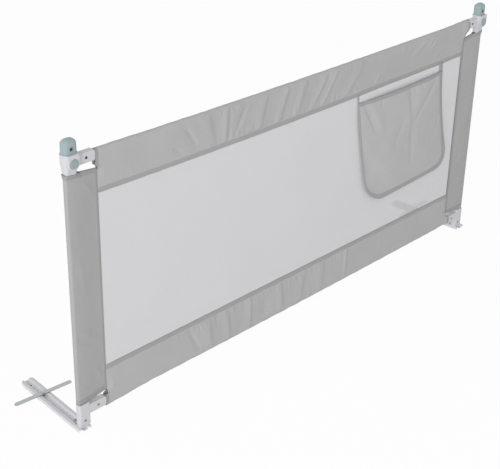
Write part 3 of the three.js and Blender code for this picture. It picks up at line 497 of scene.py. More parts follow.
# Gathers as start and end in metres, then pitch, reach and height in mm
TOP_HEM_GATHERS = [(-0.78, -0.36, 26, 22, 0.7), (-0.36, 0.22, 12.5, 26, 1.5), (0.22, 0.76, 30, 22, 0.6)]
TOP_EDGE_GATHERS = [(-0.78, -0.6, 30, 16, 0.7), (-0.6, 0.25, 15, 22, 1.3), (0.25, 0.78, 34, 16, 0.7)]
LOW_HEM_GATHERS = [(-0.78, -0.48, 30, 22, 0.6), (-0.48, 0.26, 13.5, 26, 1.3), (0.26, 0.76, 32, 22, 0.5)]
LOW_EDGE_GATHERS = [(-0.76, -0.48, 32, 18, 0.6), (-0.48, 0.3, 17, 24, 1.3), (0.3, 0.76, 34, 18, 0.6)]
HEM_WIDTH = 14 * MM
HEM_PLACES = np.array([0, 0.8, 2.5, HEM_WIDTH / MM - 2.5, HEM_WIDTH / MM - 0.8, HEM_WIDTH / MM]) * MM
BAND_STEP = 3 * MM
BAND_ROWS = 33
TURN_STEPS = 14
# Where a band's seam to the sleeve ends, the notch beside it, and how its cloth is pinched there
SEAM_END = SEAM_X - 0.4 * MM
NOTCH_RUN = 4 * MM
PINCH_RUN = 22 * MM
PINCH_RISE = 14 * MM
CUFF_WIDTH = 9 * MM
# Depth of the placed folds, how uneven the cloth is besides, and the run in which both fade out
FOLD_DEPTH = 1.75
BACK_WAVE = 1.2 * MM
SLACK = 1.0 * MM
PUFF = 1.2 * MM
HEM_WAVE = 0.5 * MM
END_FADE = 40 * MM
# Shares of the way from the hem to the rail: how far the hem holds the cloth flat, where it is as
# wide as over an arm, and where it lies on the rail, with the share of its folds that it keeps there
HELD_SHARE = 0.06
ARM_SWELL_SHARE = 0.6
ON_RAIL_SHARE = 0.98
ON_RAIL_FOLD_SHARE = 0.4
# No fold goes in further than this share of the room round the rail, from a little below it upwards
DENT_SHARE = 0.4
BELOW_RAIL = 2 * MM


def loop_section(hem, reach, shoulder, half_depth, rows, widening, roundness=1.0):
    """Cross-section of cloth that wraps a bar and closes to a flat hem. It gives places across the
    bar and out of the flat, a share from 0 in the hem to 1 at the bar, which way the cloth faces and
    how far it lies round the bar."""
    loose = np.linspace(hem[-1], reach + shoulder, rows + 1)[1:]
    across = np.concatenate([hem, loose]) - reach
    share = np.clip((across + reach - hem[-1]) / (reach + shoulder - hem[-1]), 0, 1)
    half = HEM_HALF + (half_depth - HEM_HALF) * widening(share)
    half[:len(hem)] = TAPE_HALF
    turn = np.linspace(0, math.pi, TURN_STEPS + 1)[1:-1]
    round_across = half_depth * np.sin(turn) ** roundness
    round_out = half_depth * np.sign(np.cos(turn)) * np.abs(np.cos(turn)) ** roundness
    front = np.ones(len(across))
    return (
        np.concatenate([across, shoulder + round_across, across[::-1]]),
        np.concatenate([half, round_out, -half[::-1]]),
        np.concatenate([share, np.ones(len(turn)), share[::-1]]),
        np.concatenate([front, np.cos(turn), -front]),
        np.concatenate([0 * front, np.sin(turn), 0 * front]),
    )


def band_widening(share):
    return 0.75 * share + 0.25 * smoothstep(share)


def gathers(along, z, hem_z, edge_z, side, looks, seed):
    """Puckers at the hem of a band and at its edge along the rail"""
    at_hem = puckers(along, z, hem_z, side, looks["hem_gathers"], seed)
    return at_hem + puckers(along, z, edge_z, -side, looks["edge_gathers"], seed + 1)


def band_height(along, rise, share, facing, levels, side, fade, sewn, looks):
    """How far the cloth of a band stands out of its plain cross-section"""
    seed = looks["seed"]
    rail_z, hem_z, edge_z = levels
    z = rail_z + side * rise
    front = FOLD_DEPTH * placed_folds(along, z, looks["folds"])
    front += gathers(along, z, hem_z, edge_z, side, looks, seed)
    back = gathers(along, z, hem_z, edge_z, side, looks, seed + 2)
    back += BACK_WAVE * wander(along, rise, seed + 5, pitch=0.07)
    free = np.sin(math.pi * share) ** 0.6
    slack = SLACK * wander(along, rise, seed + 9, pitch=0.16) * free
    tight = np.where(share > ON_RAIL_SHARE, ON_RAIL_FOLD_SHARE, 1) * smoothstep(share / HELD_SHARE)
    height = (np.where(facing > 0, front, back) * tight + slack) * fade + PUFF * free
    shallow = np.maximum(height, -DENT_SHARE * CLOTH_EASE)
    height = np.where(rise > -RAIL_HALF_RISE - BELOW_RAIL, shallow, height) * (1 - sewn)
    return height + looks["arm_swell"](along) * smoothstep(share / ARM_SWELL_SHARE)


def band(name, node_box, rail_z, side, body, looks):
    """Cloth that wraps a rail and closes to a flat hem; side is +1 where the hem hangs down"""
    reach = (rail_z - node_box[0].z) if side > 0 else (node_box[1].z - rail_z)
    half_rise = RAIL_HALF_RISE + CLOTH_EASE
    half_depth = RAIL_HALF_DEPTH + CLOTH_EASE
    rise, out, loose, facing, above = loop_section(
        HEM_PLACES, reach, half_rise - half_depth, half_depth, BAND_ROWS, band_widening)
    notch = -looks["notch"]
    opening = ramp(rise, notch, NOTCH_RUN)
    slant = ramp(rise, notch, looks["right_slant"])
    left_end = SEAM_END + (looks["ends"][0] - SEAM_END) * opening
    right_end = SEAM_END + (looks["ends"][1] - SEAM_END) * slant
    columns = round(2 * SEAM_END / BAND_STEP)
    shares = np.linspace(-1, 1, columns + 1)[:, None]
    along = np.where(shares < 0, shares * left_end, shares * right_end)
    share = np.broadcast_to(loose, along.shape)
    upward = np.broadcast_to(rise, along.shape)
    fade = smoothstep(np.minimum(along - node_box[0].x, node_box[1].x - along) / END_FADE)
    sewn = ramp(rise, notch, -PINCH_RISE) * (1 - ramp(np.abs(along), SEAM_END, -PINCH_RUN))
    levels = (rail_z, rail_z - side * (reach - HEM_WIDTH), rail_z + side * half_rise)
    height = band_height(along, upward, share, facing, levels, side, fade, sewn, looks)
    crown = above * (looks["crown"](along) * fade + looks["arm_swell"](along))
    hem_wave = HEM_WAVE * wander(along, along * 0, looks["seed"] + 4, pitch=0.09) * (1 - share)
    z = rail_z + side * (upward + crown) + hem_wave * fade - looks["sag"](along, share)
    pinched = np.clip(out, -HEM_HALF, HEM_HALF)
    y = PANEL_Y - out + (out - pinched) * sewn - height * facing
    weave = (along, lengths_across(along, y, z))
    thing = grid_object(name, (along, y, z), weave, GREY_CLOTH, CLOTH_SKIN)
    faces = np.arange(columns * (len(rise) - 1)).reshape(columns, -1)
    hem = len(HEM_PLACES) - 1
    paint_faces(thing, TAPE, [faces[:, :hem], faces[:, -hem:]])
    cuff = round(CUFF_WIDTH / BAND_STEP)
    above_notch = np.flatnonzero(opening[1:] > 0.5)
    paint_faces(thing, HEM_CLOTH, [faces[:cuff][:, above_notch], faces[-cuff:][:, above_notch]])
    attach(thing, body)
    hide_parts(name.replace("_cloth", ""))


# How far the cloth of each band hangs, bulges and swells along the rail

# Height, start and run of each rise of the upper hem towards the right
TOP_HEM_RISES = ((2.7 * MM, 0.15, 0.25), (1.5 * MM, 0.7, 0.06))
# Height, seed and pitch of the kinks along the top of the upper band, which fade to the right
TOP_KINKS = ((1.0 * MM, 10, 0.1), (0.6 * MM, 12, 0.045))
TOP_KINK_FADE = 0.6
TOP_CROWN = 0.9 * MM
ARM_CROWN = 3.5 * MM
ARM_CROWN_RUN = 50 * MM
LOW_CROWN = 0.8 * MM
# Hang of the lower band everywhere, midway and at its left end, and how uneven it is
LOW_HANG = 2.0 * MM
LOW_HANG_MIDWAY = 4.0 * MM
LOW_HANG_LEFT = 6.0 * MM
LOW_HANG_WAVE = 0.9 * MM
LOW_HANG_END = 60 * MM
CUFF_RUN = 15 * MM
TOP_CUFF_SWELL = 3.4 * MM
LOW_CUFF_SWELL = 3.0 * MM
CUFF_SWELL_RUN = 22 * MM
TOP_CUFF_X = TOP_BAND_BOX[1].x - CUFF_RUN
LOW_CUFF_X = LOW_BAND_BOX[1].x - CUFF_RUN


def top_sag(x, share):
    """The bow of the rail, with the hem held a little higher towards the right"""
    hem_rise = sum(height * ramp(x, start, run) for height, start, run in TOP_HEM_RISES)
    return rail_bow(x) - hem_rise * (1 - share)


def low_sag(x, share):
    """The cloth hangs loose below the bottom rail, but not at its right end"""
    hang = LOW_HANG + LOW_HANG_MIDWAY * np.cos(math.pi * x / 2 / SEAM_X)
    hang = hang + LOW_HANG_WAVE * wander(x, x * 0, 60, pitch=0.07)
    hang = hang + LOW_HANG_LEFT * ramp(x, start=-0.64, run=-0.14)
    return hang * ramp(x, SEAM_X, -LOW_HANG_END) * share ** 2


def top_crown(x):
    """How far the upper band bulges over the rail, most over the arm at its right end"""
    kinks = sum(height * wander(x, x * 0, seed, pitch) for height, seed, pitch in TOP_KINKS)
    kinks = kinks * (1 - TOP_KINK_FADE * ramp(x, start=0.2, run=0.1))
    return TOP_CROWN + kinks + ARM_CROWN * bell((x - TOP_CUFF_X) / ARM_CROWN_RUN)


def low_crown(x):
    return LOW_CROWN * wander(x, x * 0, 18, pitch=0.06)


def top_arm_swell(x):
    """Near its right end the cloth widens to go over the arm of the fitting"""
    return TOP_CUFF_SWELL * ramp(x, TOP_CUFF_X - CUFF_RUN, CUFF_SWELL_RUN)


def low_arm_swell(x):
    return LOW_CUFF_SWELL * ramp(x, LOW_CUFF_X, CUFF_SWELL_RUN)


TOP_LOOKS = {
    "folds": TOP_FOLDS, "hem_gathers": TOP_HEM_GATHERS, "edge_gathers": TOP_EDGE_GATHERS, "seed": 3,
    "notch": 37 * MM, "ends": (TOP_BAND_BOX[1].x, TOP_BAND_BOX[1].x + 13 * MM), "sag": top_sag,
    "crown": top_crown, "arm_swell": top_arm_swell, "right_slant": 24 * MM,
    "rests_on": ["top_rail_left_bowed", "top_rail_right_bowed"],
}
LOW_LOOKS = {
    "folds": LOW_FOLDS, "hem_gathers": LOW_HEM_GATHERS, "edge_gathers": LOW_EDGE_GATHERS, "seed": 11,
    "notch": 24 * MM, "ends": (LOW_BAND_BOX[1].x, LOW_BAND_BOX[1].x + 9 * MM), "sag": low_sag,
    "crown": low_crown, "arm_swell": low_arm_swell, "right_slant": 10 * MM,
    "rests_on": ["bottom_rail_left", "bottom_rail_right"],
}


# Top rail

BOW_STEP = 60 * MM


def bowed_tube(node_name):
    """A rail tube or its joiner with the slight sag of the whole rail"""
    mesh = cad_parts[node_name].data.copy()
    shape = bmesh.new()
    shape.from_mesh(mesh)
    low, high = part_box(node_name)
    station = low.x + BOW_STEP
    while station < high.x:
        parts = shape.verts[:] + shape.edges[:] + shape.faces[:]
        bmesh.ops.bisect_plane(shape, geom=parts, plane_co=(station, 0, 0), plane_no=(1, 0, 0))
        station += BOW_STEP
    for vertex in shape.verts:
        vertex.co.z -= float(rail_bow(vertex.co.x))
    shape.to_mesh(mesh)
    shape.free()
    thing = new_object(node_name + "_bowed", mesh)
    finish_cad_node(node_name, thing)
    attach(thing, "drop_side")
    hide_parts(node_name)


# Button springs

SPRING_WIRE_RADIUS = 0.6 * MM
SPRING_TURNS = 4
STEPS_PER_TURN = 28
WIRE_SIDES = 10
# How much the coils close up at both ends, as a share of their mean pitch
END_CLOSING = 0.42


def full_circle(sides):
    return np.linspace(0, 2 * math.pi, sides, endpoint=False)[None, :]


def button_spring(side_name):
    """Coil spring behind a button, at one fixed length in the box of the imported spring"""
    node_name = f"{side_name}_button_spring"
    low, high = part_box(node_name)
    radius = (high.x - low.x) / 2 - SPRING_WIRE_RADIUS
    length = high.y - low.y - 2 * SPRING_WIRE_RADIUS
    turn = np.linspace(0, 2 * math.pi * SPRING_TURNS, SPRING_TURNS * STEPS_PER_TURN + 1)[:, None]
    share = turn / turn[-1]
    closing = END_CLOSING * np.sin(2 * math.pi * share) / (2 * math.pi)
    ring = full_circle(WIRE_SIDES)
    reach = radius + SPRING_WIRE_RADIUS * np.cos(ring)
    x = (low.x + high.x) / 2 + reach * np.cos(turn)
    y = low.y + SPRING_WIRE_RADIUS + length * (share - closing) + SPRING_WIRE_RADIUS * np.sin(ring)
    z = (low.z + high.z) / 2 + reach * np.sin(turn)
    thing = grid_object(f"{side_name}_coil", (x, y, z), (x, y), SPRING_STEEL, closed=True)
    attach(thing, "drop_side")
    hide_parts(node_name)
    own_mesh(thing)


# Painted shade for the small holes in the feet

HOLE_SHADE_RADIUS = 2.8 * MM
HOLE_SHADE_PLACE = (0.8758, 0.1273, 0.003)
HOLE_SHADE_SIDES = 24
# Domed outline of the painted shade, from its middle outwards
HOLE_SHADE_RADIUS_SHARES = np.array([0.02, 0.7, 0.95, 1, 1])[:, None]
HOLE_SHADE_HEIGHTS = np.array([0.5, 0.4, 0.2, 0, -0.6])[:, None] * MM


def foot_hole_shade(side_name, sign):
    """Dark dome of painted shade that stands for the small hole near the tip of a foot"""
    ring = full_circle(HOLE_SHADE_SIDES)
    x = sign * HOLE_SHADE_PLACE[0] + HOLE_SHADE_RADIUS * HOLE_SHADE_RADIUS_SHARES * np.cos(ring)
    y = HOLE_SHADE_PLACE[1] + HOLE_SHADE_RADIUS * HOLE_SHADE_RADIUS_SHARES * np.sin(ring)
    z = HOLE_SHADE_PLACE[2] + HOLE_SHADE_HEIGHTS + 0 * ring
    thing = grid_object(f"{side_name}_foot_hole_shade", (x, y, z), (x, y), HOLE_SHADE_PAINT, closed=True)
    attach(thing, "stand")


# Sleeves on the posts

SEAM_WIDTH = 8 * MM
SEAM_PLACES = np.array([0, 0.8, 2.4, 5.2, 7.2, SEAM_WIDTH / MM]) * MM
TOP_HEM = 13 * MM
LOW_HEM = 17 * MM
SLEEVE_COLUMNS = 25
SLEEVE_ROWS = 170
SLEEVE_HEM_ROWS = 6
# Power of the sine that rounds the sleeve's sides; 1 is a half circle and less is squarer
SIDE_ROUNDNESS = 0.6
SEAM_LIFT = 5 * MM
STITCH_DEPTH = 0.45 * MM
STITCH_WIDTH = 1.6 * MM
SLEEVE_FOLD_DEPTH = 1.4
SLEEVE_WAVE = 1.3 * MM
SLEEVE_RIPPLE = 0.5 * MM
SLEEVE_PUFF = 0.6 * MM
SLEEVE_FADE = 30 * MM
TUCK_RUN = 9 * MM
# Cloth that faces no more than this to the front or back bulges sideways by a share of its height
SIDE_FACING = 0.7
SIDE_BULGE_SHARE = 0.6
# The mouth flares round the neck of the fitting and is pressed shut beside it
NECK_FLARE = 3.8 * MM
NECK_FLARE_RISE = 20 * MM
NECK_SIDE_FLARE = 1.8 * MM
MOUTH_SLIT = 6.5 * MM
MOUTH_SLIT_PLACE = 5.5 * MM
MOUTH_SLIT_RUN = 5 * MM
MOUTH_RIPPLE = 0.9 * MM
MOUTH_RIPPLE_RUN = 1.6 * MM
MOUTH_SHUT_PLACE = 4 * MM
MOUTH_SHUT_RUN = 8 * MM
# Folds as in the bands, with x from the middle of the post towards its outer side
SLEEVE_FOLDS = [
    (20, 330, -30, 296, 9, 7, 1.1),
    (12, 286, -40, 262, 9, 7, -0.9),
    (-10, 520, -24, 430, 12, 9, 0.8),
    (6, 660, -12, 590, 12, 10, 0.7),
    (-40, 740, -70, 700, 8, 7, 0.9),
    (-50, 180, -70, 130, 9, 7, 0.8),
]
# Tucks down the outer side, as the gathers of the bands
SIDE_TUCKS = [(0.3, 0.6, 9, 16, 0.5)]
# How far each sleeve's top and bottom edges lie from the straight, at its seam and outer side, its
# further room round the post, and where its random draws start
SLEEVE_EDGES = {
    "left": {"top": (-2.4 * MM, 7.5 * MM), "bottom": (0.0, 0.0), "ease": 1.6 * MM, "seed": 21},
    "right": {"top": (-8.0 * MM, 4.5 * MM), "bottom": (-4.5 * MM, 5.0 * MM), "ease": 0.4 * MM, "seed": 22},
}


def sleeve_widening(share):
    return smoothstep(share * 0.9 + 0.1 * (share > 0))


def sleeve_rows(low, high):
    """Height of each row in each column, with even rows in both hems and in the cloth between"""
    hem = np.linspace(0, 1, SLEEVE_HEM_ROWS + 1)
    runs = np.concatenate([hem, 1 + np.linspace(0, 1, SLEEVE_ROWS + 1)[1:], 2 + hem[1:]])
    columns = zip(low, low + LOW_HEM, high - TOP_HEM, high)
    return np.stack([np.interp(runs, range(4), stops) for stops in columns], axis=1)


def sleeve_height(wide, z, share, facing, outer_side, low, high, seed):
    """How far the cloth of a sleeve stands out of its plain cross-section"""
    outward = np.broadcast_to(wide, z.shape)
    fade = smoothstep(np.minimum(z - SLEEVE_BOX[0].z, SLEEVE_BOX[1].z - z) / SLEEVE_FADE)
    free = np.sin(math.pi * share) ** 0.7
    waves = SLEEVE_WAVE * wander(z, outward, seed, pitch=0.21) + SLEEVE_PUFF
    waves += SLEEVE_RIPPLE * wander(z, outward * 2, seed + 10, pitch=0.07)
    folds = SLEEVE_FOLD_DEPTH * placed_folds(outward, z, SLEEVE_FOLDS) * (facing > 0)
    tucks = puckers(z, outward, outer_side, -1, SIDE_TUCKS, seed + 20)
    tucks *= bell((wide - outer_side) / TUCK_RUN)
    stitches = bell((z - low - LOW_HEM) / STITCH_WIDTH) + bell((z - high + TOP_HEM) / STITCH_WIDTH)
    height = ((waves + folds) * free + tucks) * fade
    return height - STITCH_DEPTH * stitches * np.minimum(1, 8 * share)


def sleeve(side_name, sign):
    """Cloth tube down a post, closed by a taped seam on the inner side"""
    edges = SLEEVE_EDGES[side_name]
    half_width = POST_HALF_WIDTH + CLOTH_EASE + edges["ease"]
    half_depth = POST_HALF_DEPTH + CLOTH_EASE
    shoulder = half_width - half_depth
    reach = POST_X - SEAM_X
    bottom, top = SLEEVE_BOX[0].z, SLEEVE_BOX[1].z
    wide, deep, share, facing, _ = loop_section(
        SEAM_PLACES, reach, shoulder, half_depth, SLEEVE_COLUMNS, sleeve_widening, SIDE_ROUNDNESS)
    across = np.clip((wide + reach) / (reach + half_width), 0, 1)
    low = bottom + np.interp(across, (0, 1), edges["bottom"]) + SEAM_LIFT * (1 - share) ** 2
    high = top + np.interp(across, (0, 1), edges["top"])
    z = sleeve_rows(low, high)
    height = sleeve_height(wide, z, share, facing, shoulder + half_depth, low, high, edges["seed"])
    neck = ramp(z, high - NECK_FLARE_RISE, NECK_FLARE_RISE)
    flare = neck * smoothstep(share * 2.2)
    beyond = ramp(wide, shoulder / 2, shoulder / 2 + half_depth)
    shut = neck * ramp(wide, MOUTH_SHUT_PLACE - POST_HALF_WIDTH, -MOUTH_SHUT_RUN)
    slit = MOUTH_SLIT * bell((wide + POST_HALF_WIDTH + MOUTH_SLIT_PLACE) / MOUTH_SLIT_RUN)
    slit += MOUTH_RIPPLE * np.sin(wide / MOUTH_RIPPLE_RUN) ** 2
    pressed = np.sign(deep) * np.minimum(np.abs(deep), HEM_HALF + slit)
    side_bulge = SIDE_BULGE_SHARE * height * (np.abs(facing) < SIDE_FACING)
    x = sign * (POST_X + wide + side_bulge + NECK_SIDE_FLARE * flare * beyond)
    y = PANEL_Y - deep - (pressed - deep) * shut - (height + NECK_FLARE * flare) * (1 - shut) * facing
    lengths = lengths_across(x, y, z)
    thing = grid_object(f"{side_name}_sleeve_cloth", (x, y, z), (lengths, z), SLEEVE_CLOTH, CLOTH_SKIN)
    faces = np.arange((len(z) - 1) * (len(wide) - 1)).reshape(len(z) - 1, -1)
    paint_faces(thing, HEM_CLOTH, [faces[:SLEEVE_HEM_ROWS], faces[-SLEEVE_HEM_ROWS:]])
    seam = len(SEAM_PLACES) - 1
    # The seam faces get the tape's grey with painted shade along the seam
    paint_faces(thing, SEAM_TAPE_AND_SHADE, [faces[:, :seam], faces[:, -seam:]])
    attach(thing, "stand")
    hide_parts(f"{side_name}_sleeve")
    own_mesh(thing)


# Net window

NET_COLUMNS = 240
NET_ROWS = 90
NET_TUCKED = 2 * MM
NET_WAVE = 1.8 * MM
NET_HELD = 90 * MM


def net_window():
    """Net stretched between the bands and sleeves, its edges tucked into their hems"""
    low, high = NET_BOX
    x, share = np.meshgrid(np.linspace(low.x, high.x, NET_COLUMNS + 1), np.linspace(0, 1, NET_ROWS + 1))
    top = high.z + NET_TUCKED - top_sag(x, 0)
    bottom = low.z - NET_TUCKED
    z = bottom + (top - bottom) * share
    edge = np.minimum(np.minimum(x - low.x, high.x - x), np.minimum(z - low.z, high.z - z))
    free = smoothstep(edge / NET_HELD)
    y = PANEL_Y + NET_WAVE * wander(x, z * 1.3, 77, pitch=0.45) * free
    thing = grid_object("mesh_window_net", (x, y, z), (x, z), PALE_NET)
    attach(thing, "stand")
    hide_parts("mesh_window")
    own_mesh(thing)


# Pocket

POCKET_LEFT = 238 * MM
POCKET_RIGHT = 687 * MM
POCKET_DEPTH = 399 * MM
POCKET_TILT = 14 * MM
POCKET_LEFT_LEAN = 72 * MM
POCKET_RIGHT_LEAN = 76 * MM
POCKET_CORNER = 85 * MM
POCKET_MOUTH_DROP = 23.5 * MM
POCKET_MOUTH_SAG = 3.5 * MM
POCKET_BACK_TOP = 2.6 * MM
POCKET_BACK_TILT = 11 * MM
POCKET_BACK_WAVE = 0.4 * MM
POCKET_GAP = 7.5 * MM
POCKET_BULGE = 8.5 * MM
POCKET_WAVE = 1.1 * MM
POCKET_EDGE_GAP = 1.2 * MM
POCKET_FOLD_DEPTH = 1.5
POCKET_SKIN = 0.6 * MM
POCKET_TOP = TOP_BAND_BOX[0].z - 0.3 * MM
# Grid steps of the pocket's front and back sheets
FRONT_COLUMNS = 150
FRONT_ROWS = 130
BACK_STEPS = 60
MOUTH_TAPE = 12 * MM
LEFT_TAPE = 6.5 * MM
RIGHT_TAPE = 20 * MM
CORNER_TAPE = 26 * MM
BOTTOM_TAPE = 18 * MM
BOTTOM_TAPE_RIGHT = 22 * MM
TAPE_EDGE_RUN = 1.5 * MM
TAPE_GROOVE = 0.5 * MM
TAPE_GROOVE_PLACE = 0.8 * MM
TAPE_GROOVE_RUN = 1.2 * MM
SIDE_TAPE_COLUMNS = 6
SIDE_TAPE_ROWS = 16
SIDE_TAPE_ABOVE = 4 * MM
SIDE_TAPE_BELOW = 10 * MM
SIDE_TAPE_SKIN = 0.9 * MM
SIDE_TAPE_GAP = 0.6 * MM


def corner_inset(radius, from_bottom):
    below = np.clip(radius - from_bottom, 0, radius)
    return radius - np.sqrt(radius ** 2 - below ** 2)


def pocket_place(across, fallen):
    """x, z and the y of the back sheet; across and fallen run from 0 to 1"""
    inset = corner_inset(POCKET_CORNER, POCKET_DEPTH * (1 - fallen))
    left = POCKET_LEFT + POCKET_LEFT_LEAN * fallen ** 1.4 + inset
    right = POCKET_RIGHT + POCKET_RIGHT_LEAN * fallen ** 2 - inset
    x = left + (right - left) * across
    z = POCKET_TOP - (POCKET_DEPTH + POCKET_TILT * (0.5 - across)) * fallen
    z = z - top_sag(x, 0) * (1 - fallen) ** 4
    return x, z, PANEL_Y - POCKET_BACK_TOP - POCKET_BACK_TILT * fallen


# Folds of the pocket, in mm, as in the bands
POCKET_FOLDS = [
    (497, 680, 512, 556, 9, 26, -2.7),
    (508, 545, 522, 392, 8, 20, -1.6),
    (642, 648, 528, 540, 8, 12, -2.2),
    (600, 650, 500, 560, 26, 20, 1.2),
    (268, 664, 322, 562, 8, 20, -2.2),
    (300, 660, 350, 560, 16, 18, 1.3),
    (470, 560, 420, 470, 9, 8, -1.1),
    (440, 470, 530, 440, 12, 12, -0.9),
    (355, 668, 352, 640, 5, 5, -1.0),
    (530, 668, 534, 640, 5, 4, -1.1),
    (562, 668, 574, 642, 5, 5, -1.1),
    (690, 560, 655, 470, 10, 8, -0.9),
    (352, 352, 420, 322, 9, 8, 0.9),
]
# Where the lower left of the pocket falls back: x and z of the ends of a line, the width over
# which it falls below that line, and the depth, in mm
POCKET_HOLLOW = ((255, 590), (440, 350), 60, 5.0)


def spaced(count, crowding):
    """Shares from 0 to 1 that crowd towards both ends"""
    even = np.linspace(0, 1, count + 1)
    return even - crowding * np.sin(2 * math.pi * even) / (2 * math.pi)


def pocket_hollow(x, z):
    """Depth of the hollow at the pocket's lower left"""
    (x_high, z_high), (x_low, z_low), width, depth = POCKET_HOLLOW
    run = np.array((x_low - x_high, z_low - z_high))
    below = ((z_high * MM - z) * run[0] + (x - x_high * MM) * run[1]) / np.linalg.norm(run)
    return depth * MM * smoothstep(below / (width * MM))


def pocket_front_surface():
    """x, z and y of the front sheet, with its shares from the mouth, 0, to the bottom, 1"""
    across, down = np.meshgrid(spaced(FRONT_COLUMNS, 0.6), 1 - (1 - spaced(FRONT_ROWS, 0.5)) ** 1.5)
    drop = POCKET_MOUTH_DROP + POCKET_MOUTH_SAG * np.sin(math.pi * across) * (1 - down) ** 2
    x, z, back = pocket_place(across, (drop + down * (POCKET_DEPTH - drop)) / POCKET_DEPTH)
    open_share = np.sin(math.pi * across) ** 0.5 * np.sqrt(1 - down ** 4)
    belly = (POCKET_GAP + POCKET_BULGE * np.sin(math.pi * down ** 0.8) ** 0.8) * open_share
    uneven = POCKET_FOLD_DEPTH * placed_folds(x, z, POCKET_FOLDS) - pocket_hollow(x, z)
    uneven += POCKET_WAVE * wander(x, z, 55, pitch=0.11)
    loose = np.clip(4 * open_share - 0.4, 0, 1)
    return x, z, back - POCKET_EDGE_GAP - belly - uneven * loose, down


def tape_reach(x, z, line_x, line_z, widths):
    """How far each place lies inside the tape along a line, negative beyond its edge"""
    reach = np.full(x.shape, -1.0)
    for place_x, place_z, width in zip(line_x, line_z, widths):
        reach = np.maximum(reach, width - np.hypot(x - place_x, z - place_z))
    return reach


def pocket_tape_reach(x, z, down):
    """The same for the tape round all four sides of the pocket's front"""
    sides = down[:, 0]
    left = np.interp(sides, (0, 0.8, 1), (LEFT_TAPE, LEFT_TAPE, BOTTOM_TAPE))
    right_widths = (RIGHT_TAPE, RIGHT_TAPE, CORNER_TAPE, BOTTOM_TAPE_RIGHT)
    right = np.interp(sides, (0, 0.55, 0.8, 1), right_widths)
    ones = np.ones(x.shape[1])
    return np.maximum.reduce([
        tape_reach(x, z, x[:, 0], z[:, 0], left),
        tape_reach(x, z, x[:, -1], z[:, -1], right),
        tape_reach(x, z, x[-1], z[-1], BOTTOM_TAPE * ones),
        tape_reach(x, z, x[0], z[0], MOUTH_TAPE * ones),
    ])


def pocket_front():
    """Cloth front of the pocket, which bulges, bound with tape that rises over the cloth"""
    x, z, y, down = pocket_front_surface()
    reach = pocket_tape_reach(x, z, down)
    y = y - TAPE_RISE * smoothstep(reach / TAPE_EDGE_RUN + 0.5)
    y = y + TAPE_GROOVE * bell((reach + TAPE_GROOVE_PLACE) / TAPE_GROOVE_RUN)
    front = grid_object("pocket_front_cloth", (x, y, z), (x, z), POCKET_CLOTH, POCKET_SKIN)
    layer = front.data.attributes.new(TAPE_ATTRIBUTE, "FLOAT", "POINT")
    layer.data.foreach_set("value", reach.ravel())
    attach(front, "drop_side")
    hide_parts("pocket_front")


def pocket_back():
    """Net back of the pocket, with tape on its sides above the mouth"""
    even = np.linspace(0, 1, BACK_STEPS + 1)
    across, fallen = np.meshgrid(even, 1 - (1 - even) ** 1.35)
    x, z, back = pocket_place(across, fallen)
    y = back + POCKET_BACK_WAVE * wander(x, z, 56, pitch=0.15)
    # The back net's lighter colour is painted light against the shade of the pocket's front
    net = grid_object("pocket_back_net", (x, y, z), (x, z), POCKET_NET_PAINTED_LIGHT)
    left_tape = pocket_side_tape("pocket_left_tape", 0, LEFT_TAPE)
    right_tape = pocket_side_tape("pocket_right_tape", 1, RIGHT_TAPE)
    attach(net, "drop_side")
    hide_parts("pocket_back")


def pocket_side_tape(name, edge, width):
    """Tape that binds the net above the mouth, on the left edge, 0, or the right edge, 1"""
    steps = np.linspace(0, 1, SIDE_TAPE_COLUMNS + 1)
    share = steps * width / (POCKET_RIGHT - POCKET_LEFT)
    falls = np.linspace(-SIDE_TAPE_ABOVE, POCKET_MOUTH_DROP + SIDE_TAPE_BELOW, SIDE_TAPE_ROWS + 1)
    across, fallen = np.meshgrid(share if edge == 0 else 1 - share, falls / POCKET_DEPTH)
    x, z, back = pocket_place(across, np.clip(fallen, 0, 1))
    z = z - np.minimum(fallen, 0) * POCKET_DEPTH
    dome = np.sin(math.pi * steps) ** 0.5
    y = back - SIDE_TAPE_GAP - TAPE_RISE * dome
    thing = grid_object(name, (x, y, z), (x, z), TAPE, SIDE_TAPE_SKIN)
    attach(thing, "drop_side")
    return thing


# Stage

FRAME_WIDTH = 500
FRAME_HEIGHT = 469
FOCAL_PIXELS = 1121.65
OPTICAL_CENTRE = (250.0, 200.0)
CAMERA_PLACE = (-2.37531, -2.22324, 1.96053)
CAMERA_YAW = 0.796660594
CAMERA_PITCH = 0.456882026
CAMERA_ROLL = -0.0208658326
SENSOR_WIDTH = 36.0


def make_camera():
    data = bpy.data.cameras.new("camera")
    camera = new_object("camera", data)
    bpy.context.scene.camera = camera
    data.sensor_width = SENSOR_WIDTH
    data.lens = FOCAL_PIXELS / FRAME_WIDTH * SENSOR_WIDTH
    data.shift_x = (FRAME_WIDTH / 2 - OPTICAL_CENTRE[0]) / FRAME_WIDTH
    data.shift_y = (OPTICAL_CENTRE[1] - FRAME_HEIGHT / 2) / FRAME_WIDTH
    data.clip_start = 0.05
    data.clip_end = 200
    sin_yaw, cos_yaw = math.sin(CAMERA_YAW), math.cos(CAMERA_YAW)
    sin_pitch, cos_pitch = math.sin(CAMERA_PITCH), math.cos(CAMERA_PITCH)
    forward = Vector((cos_pitch * sin_yaw, cos_pitch * cos_yaw, -sin_pitch))
    level_right = Vector((cos_yaw, -sin_yaw, 0))
    level_down = forward.cross(level_right)
    cos_roll, sin_roll = math.cos(CAMERA_ROLL), math.sin(CAMERA_ROLL)
    right = cos_roll * level_right + sin_roll * level_down
    down = cos_roll * level_down - sin_roll * level_right
    axes = Matrix((right, -down, -forward)).transposed()
    camera.matrix_world = Matrix.Translation(CAMERA_PLACE) @ axes.to_4x4()


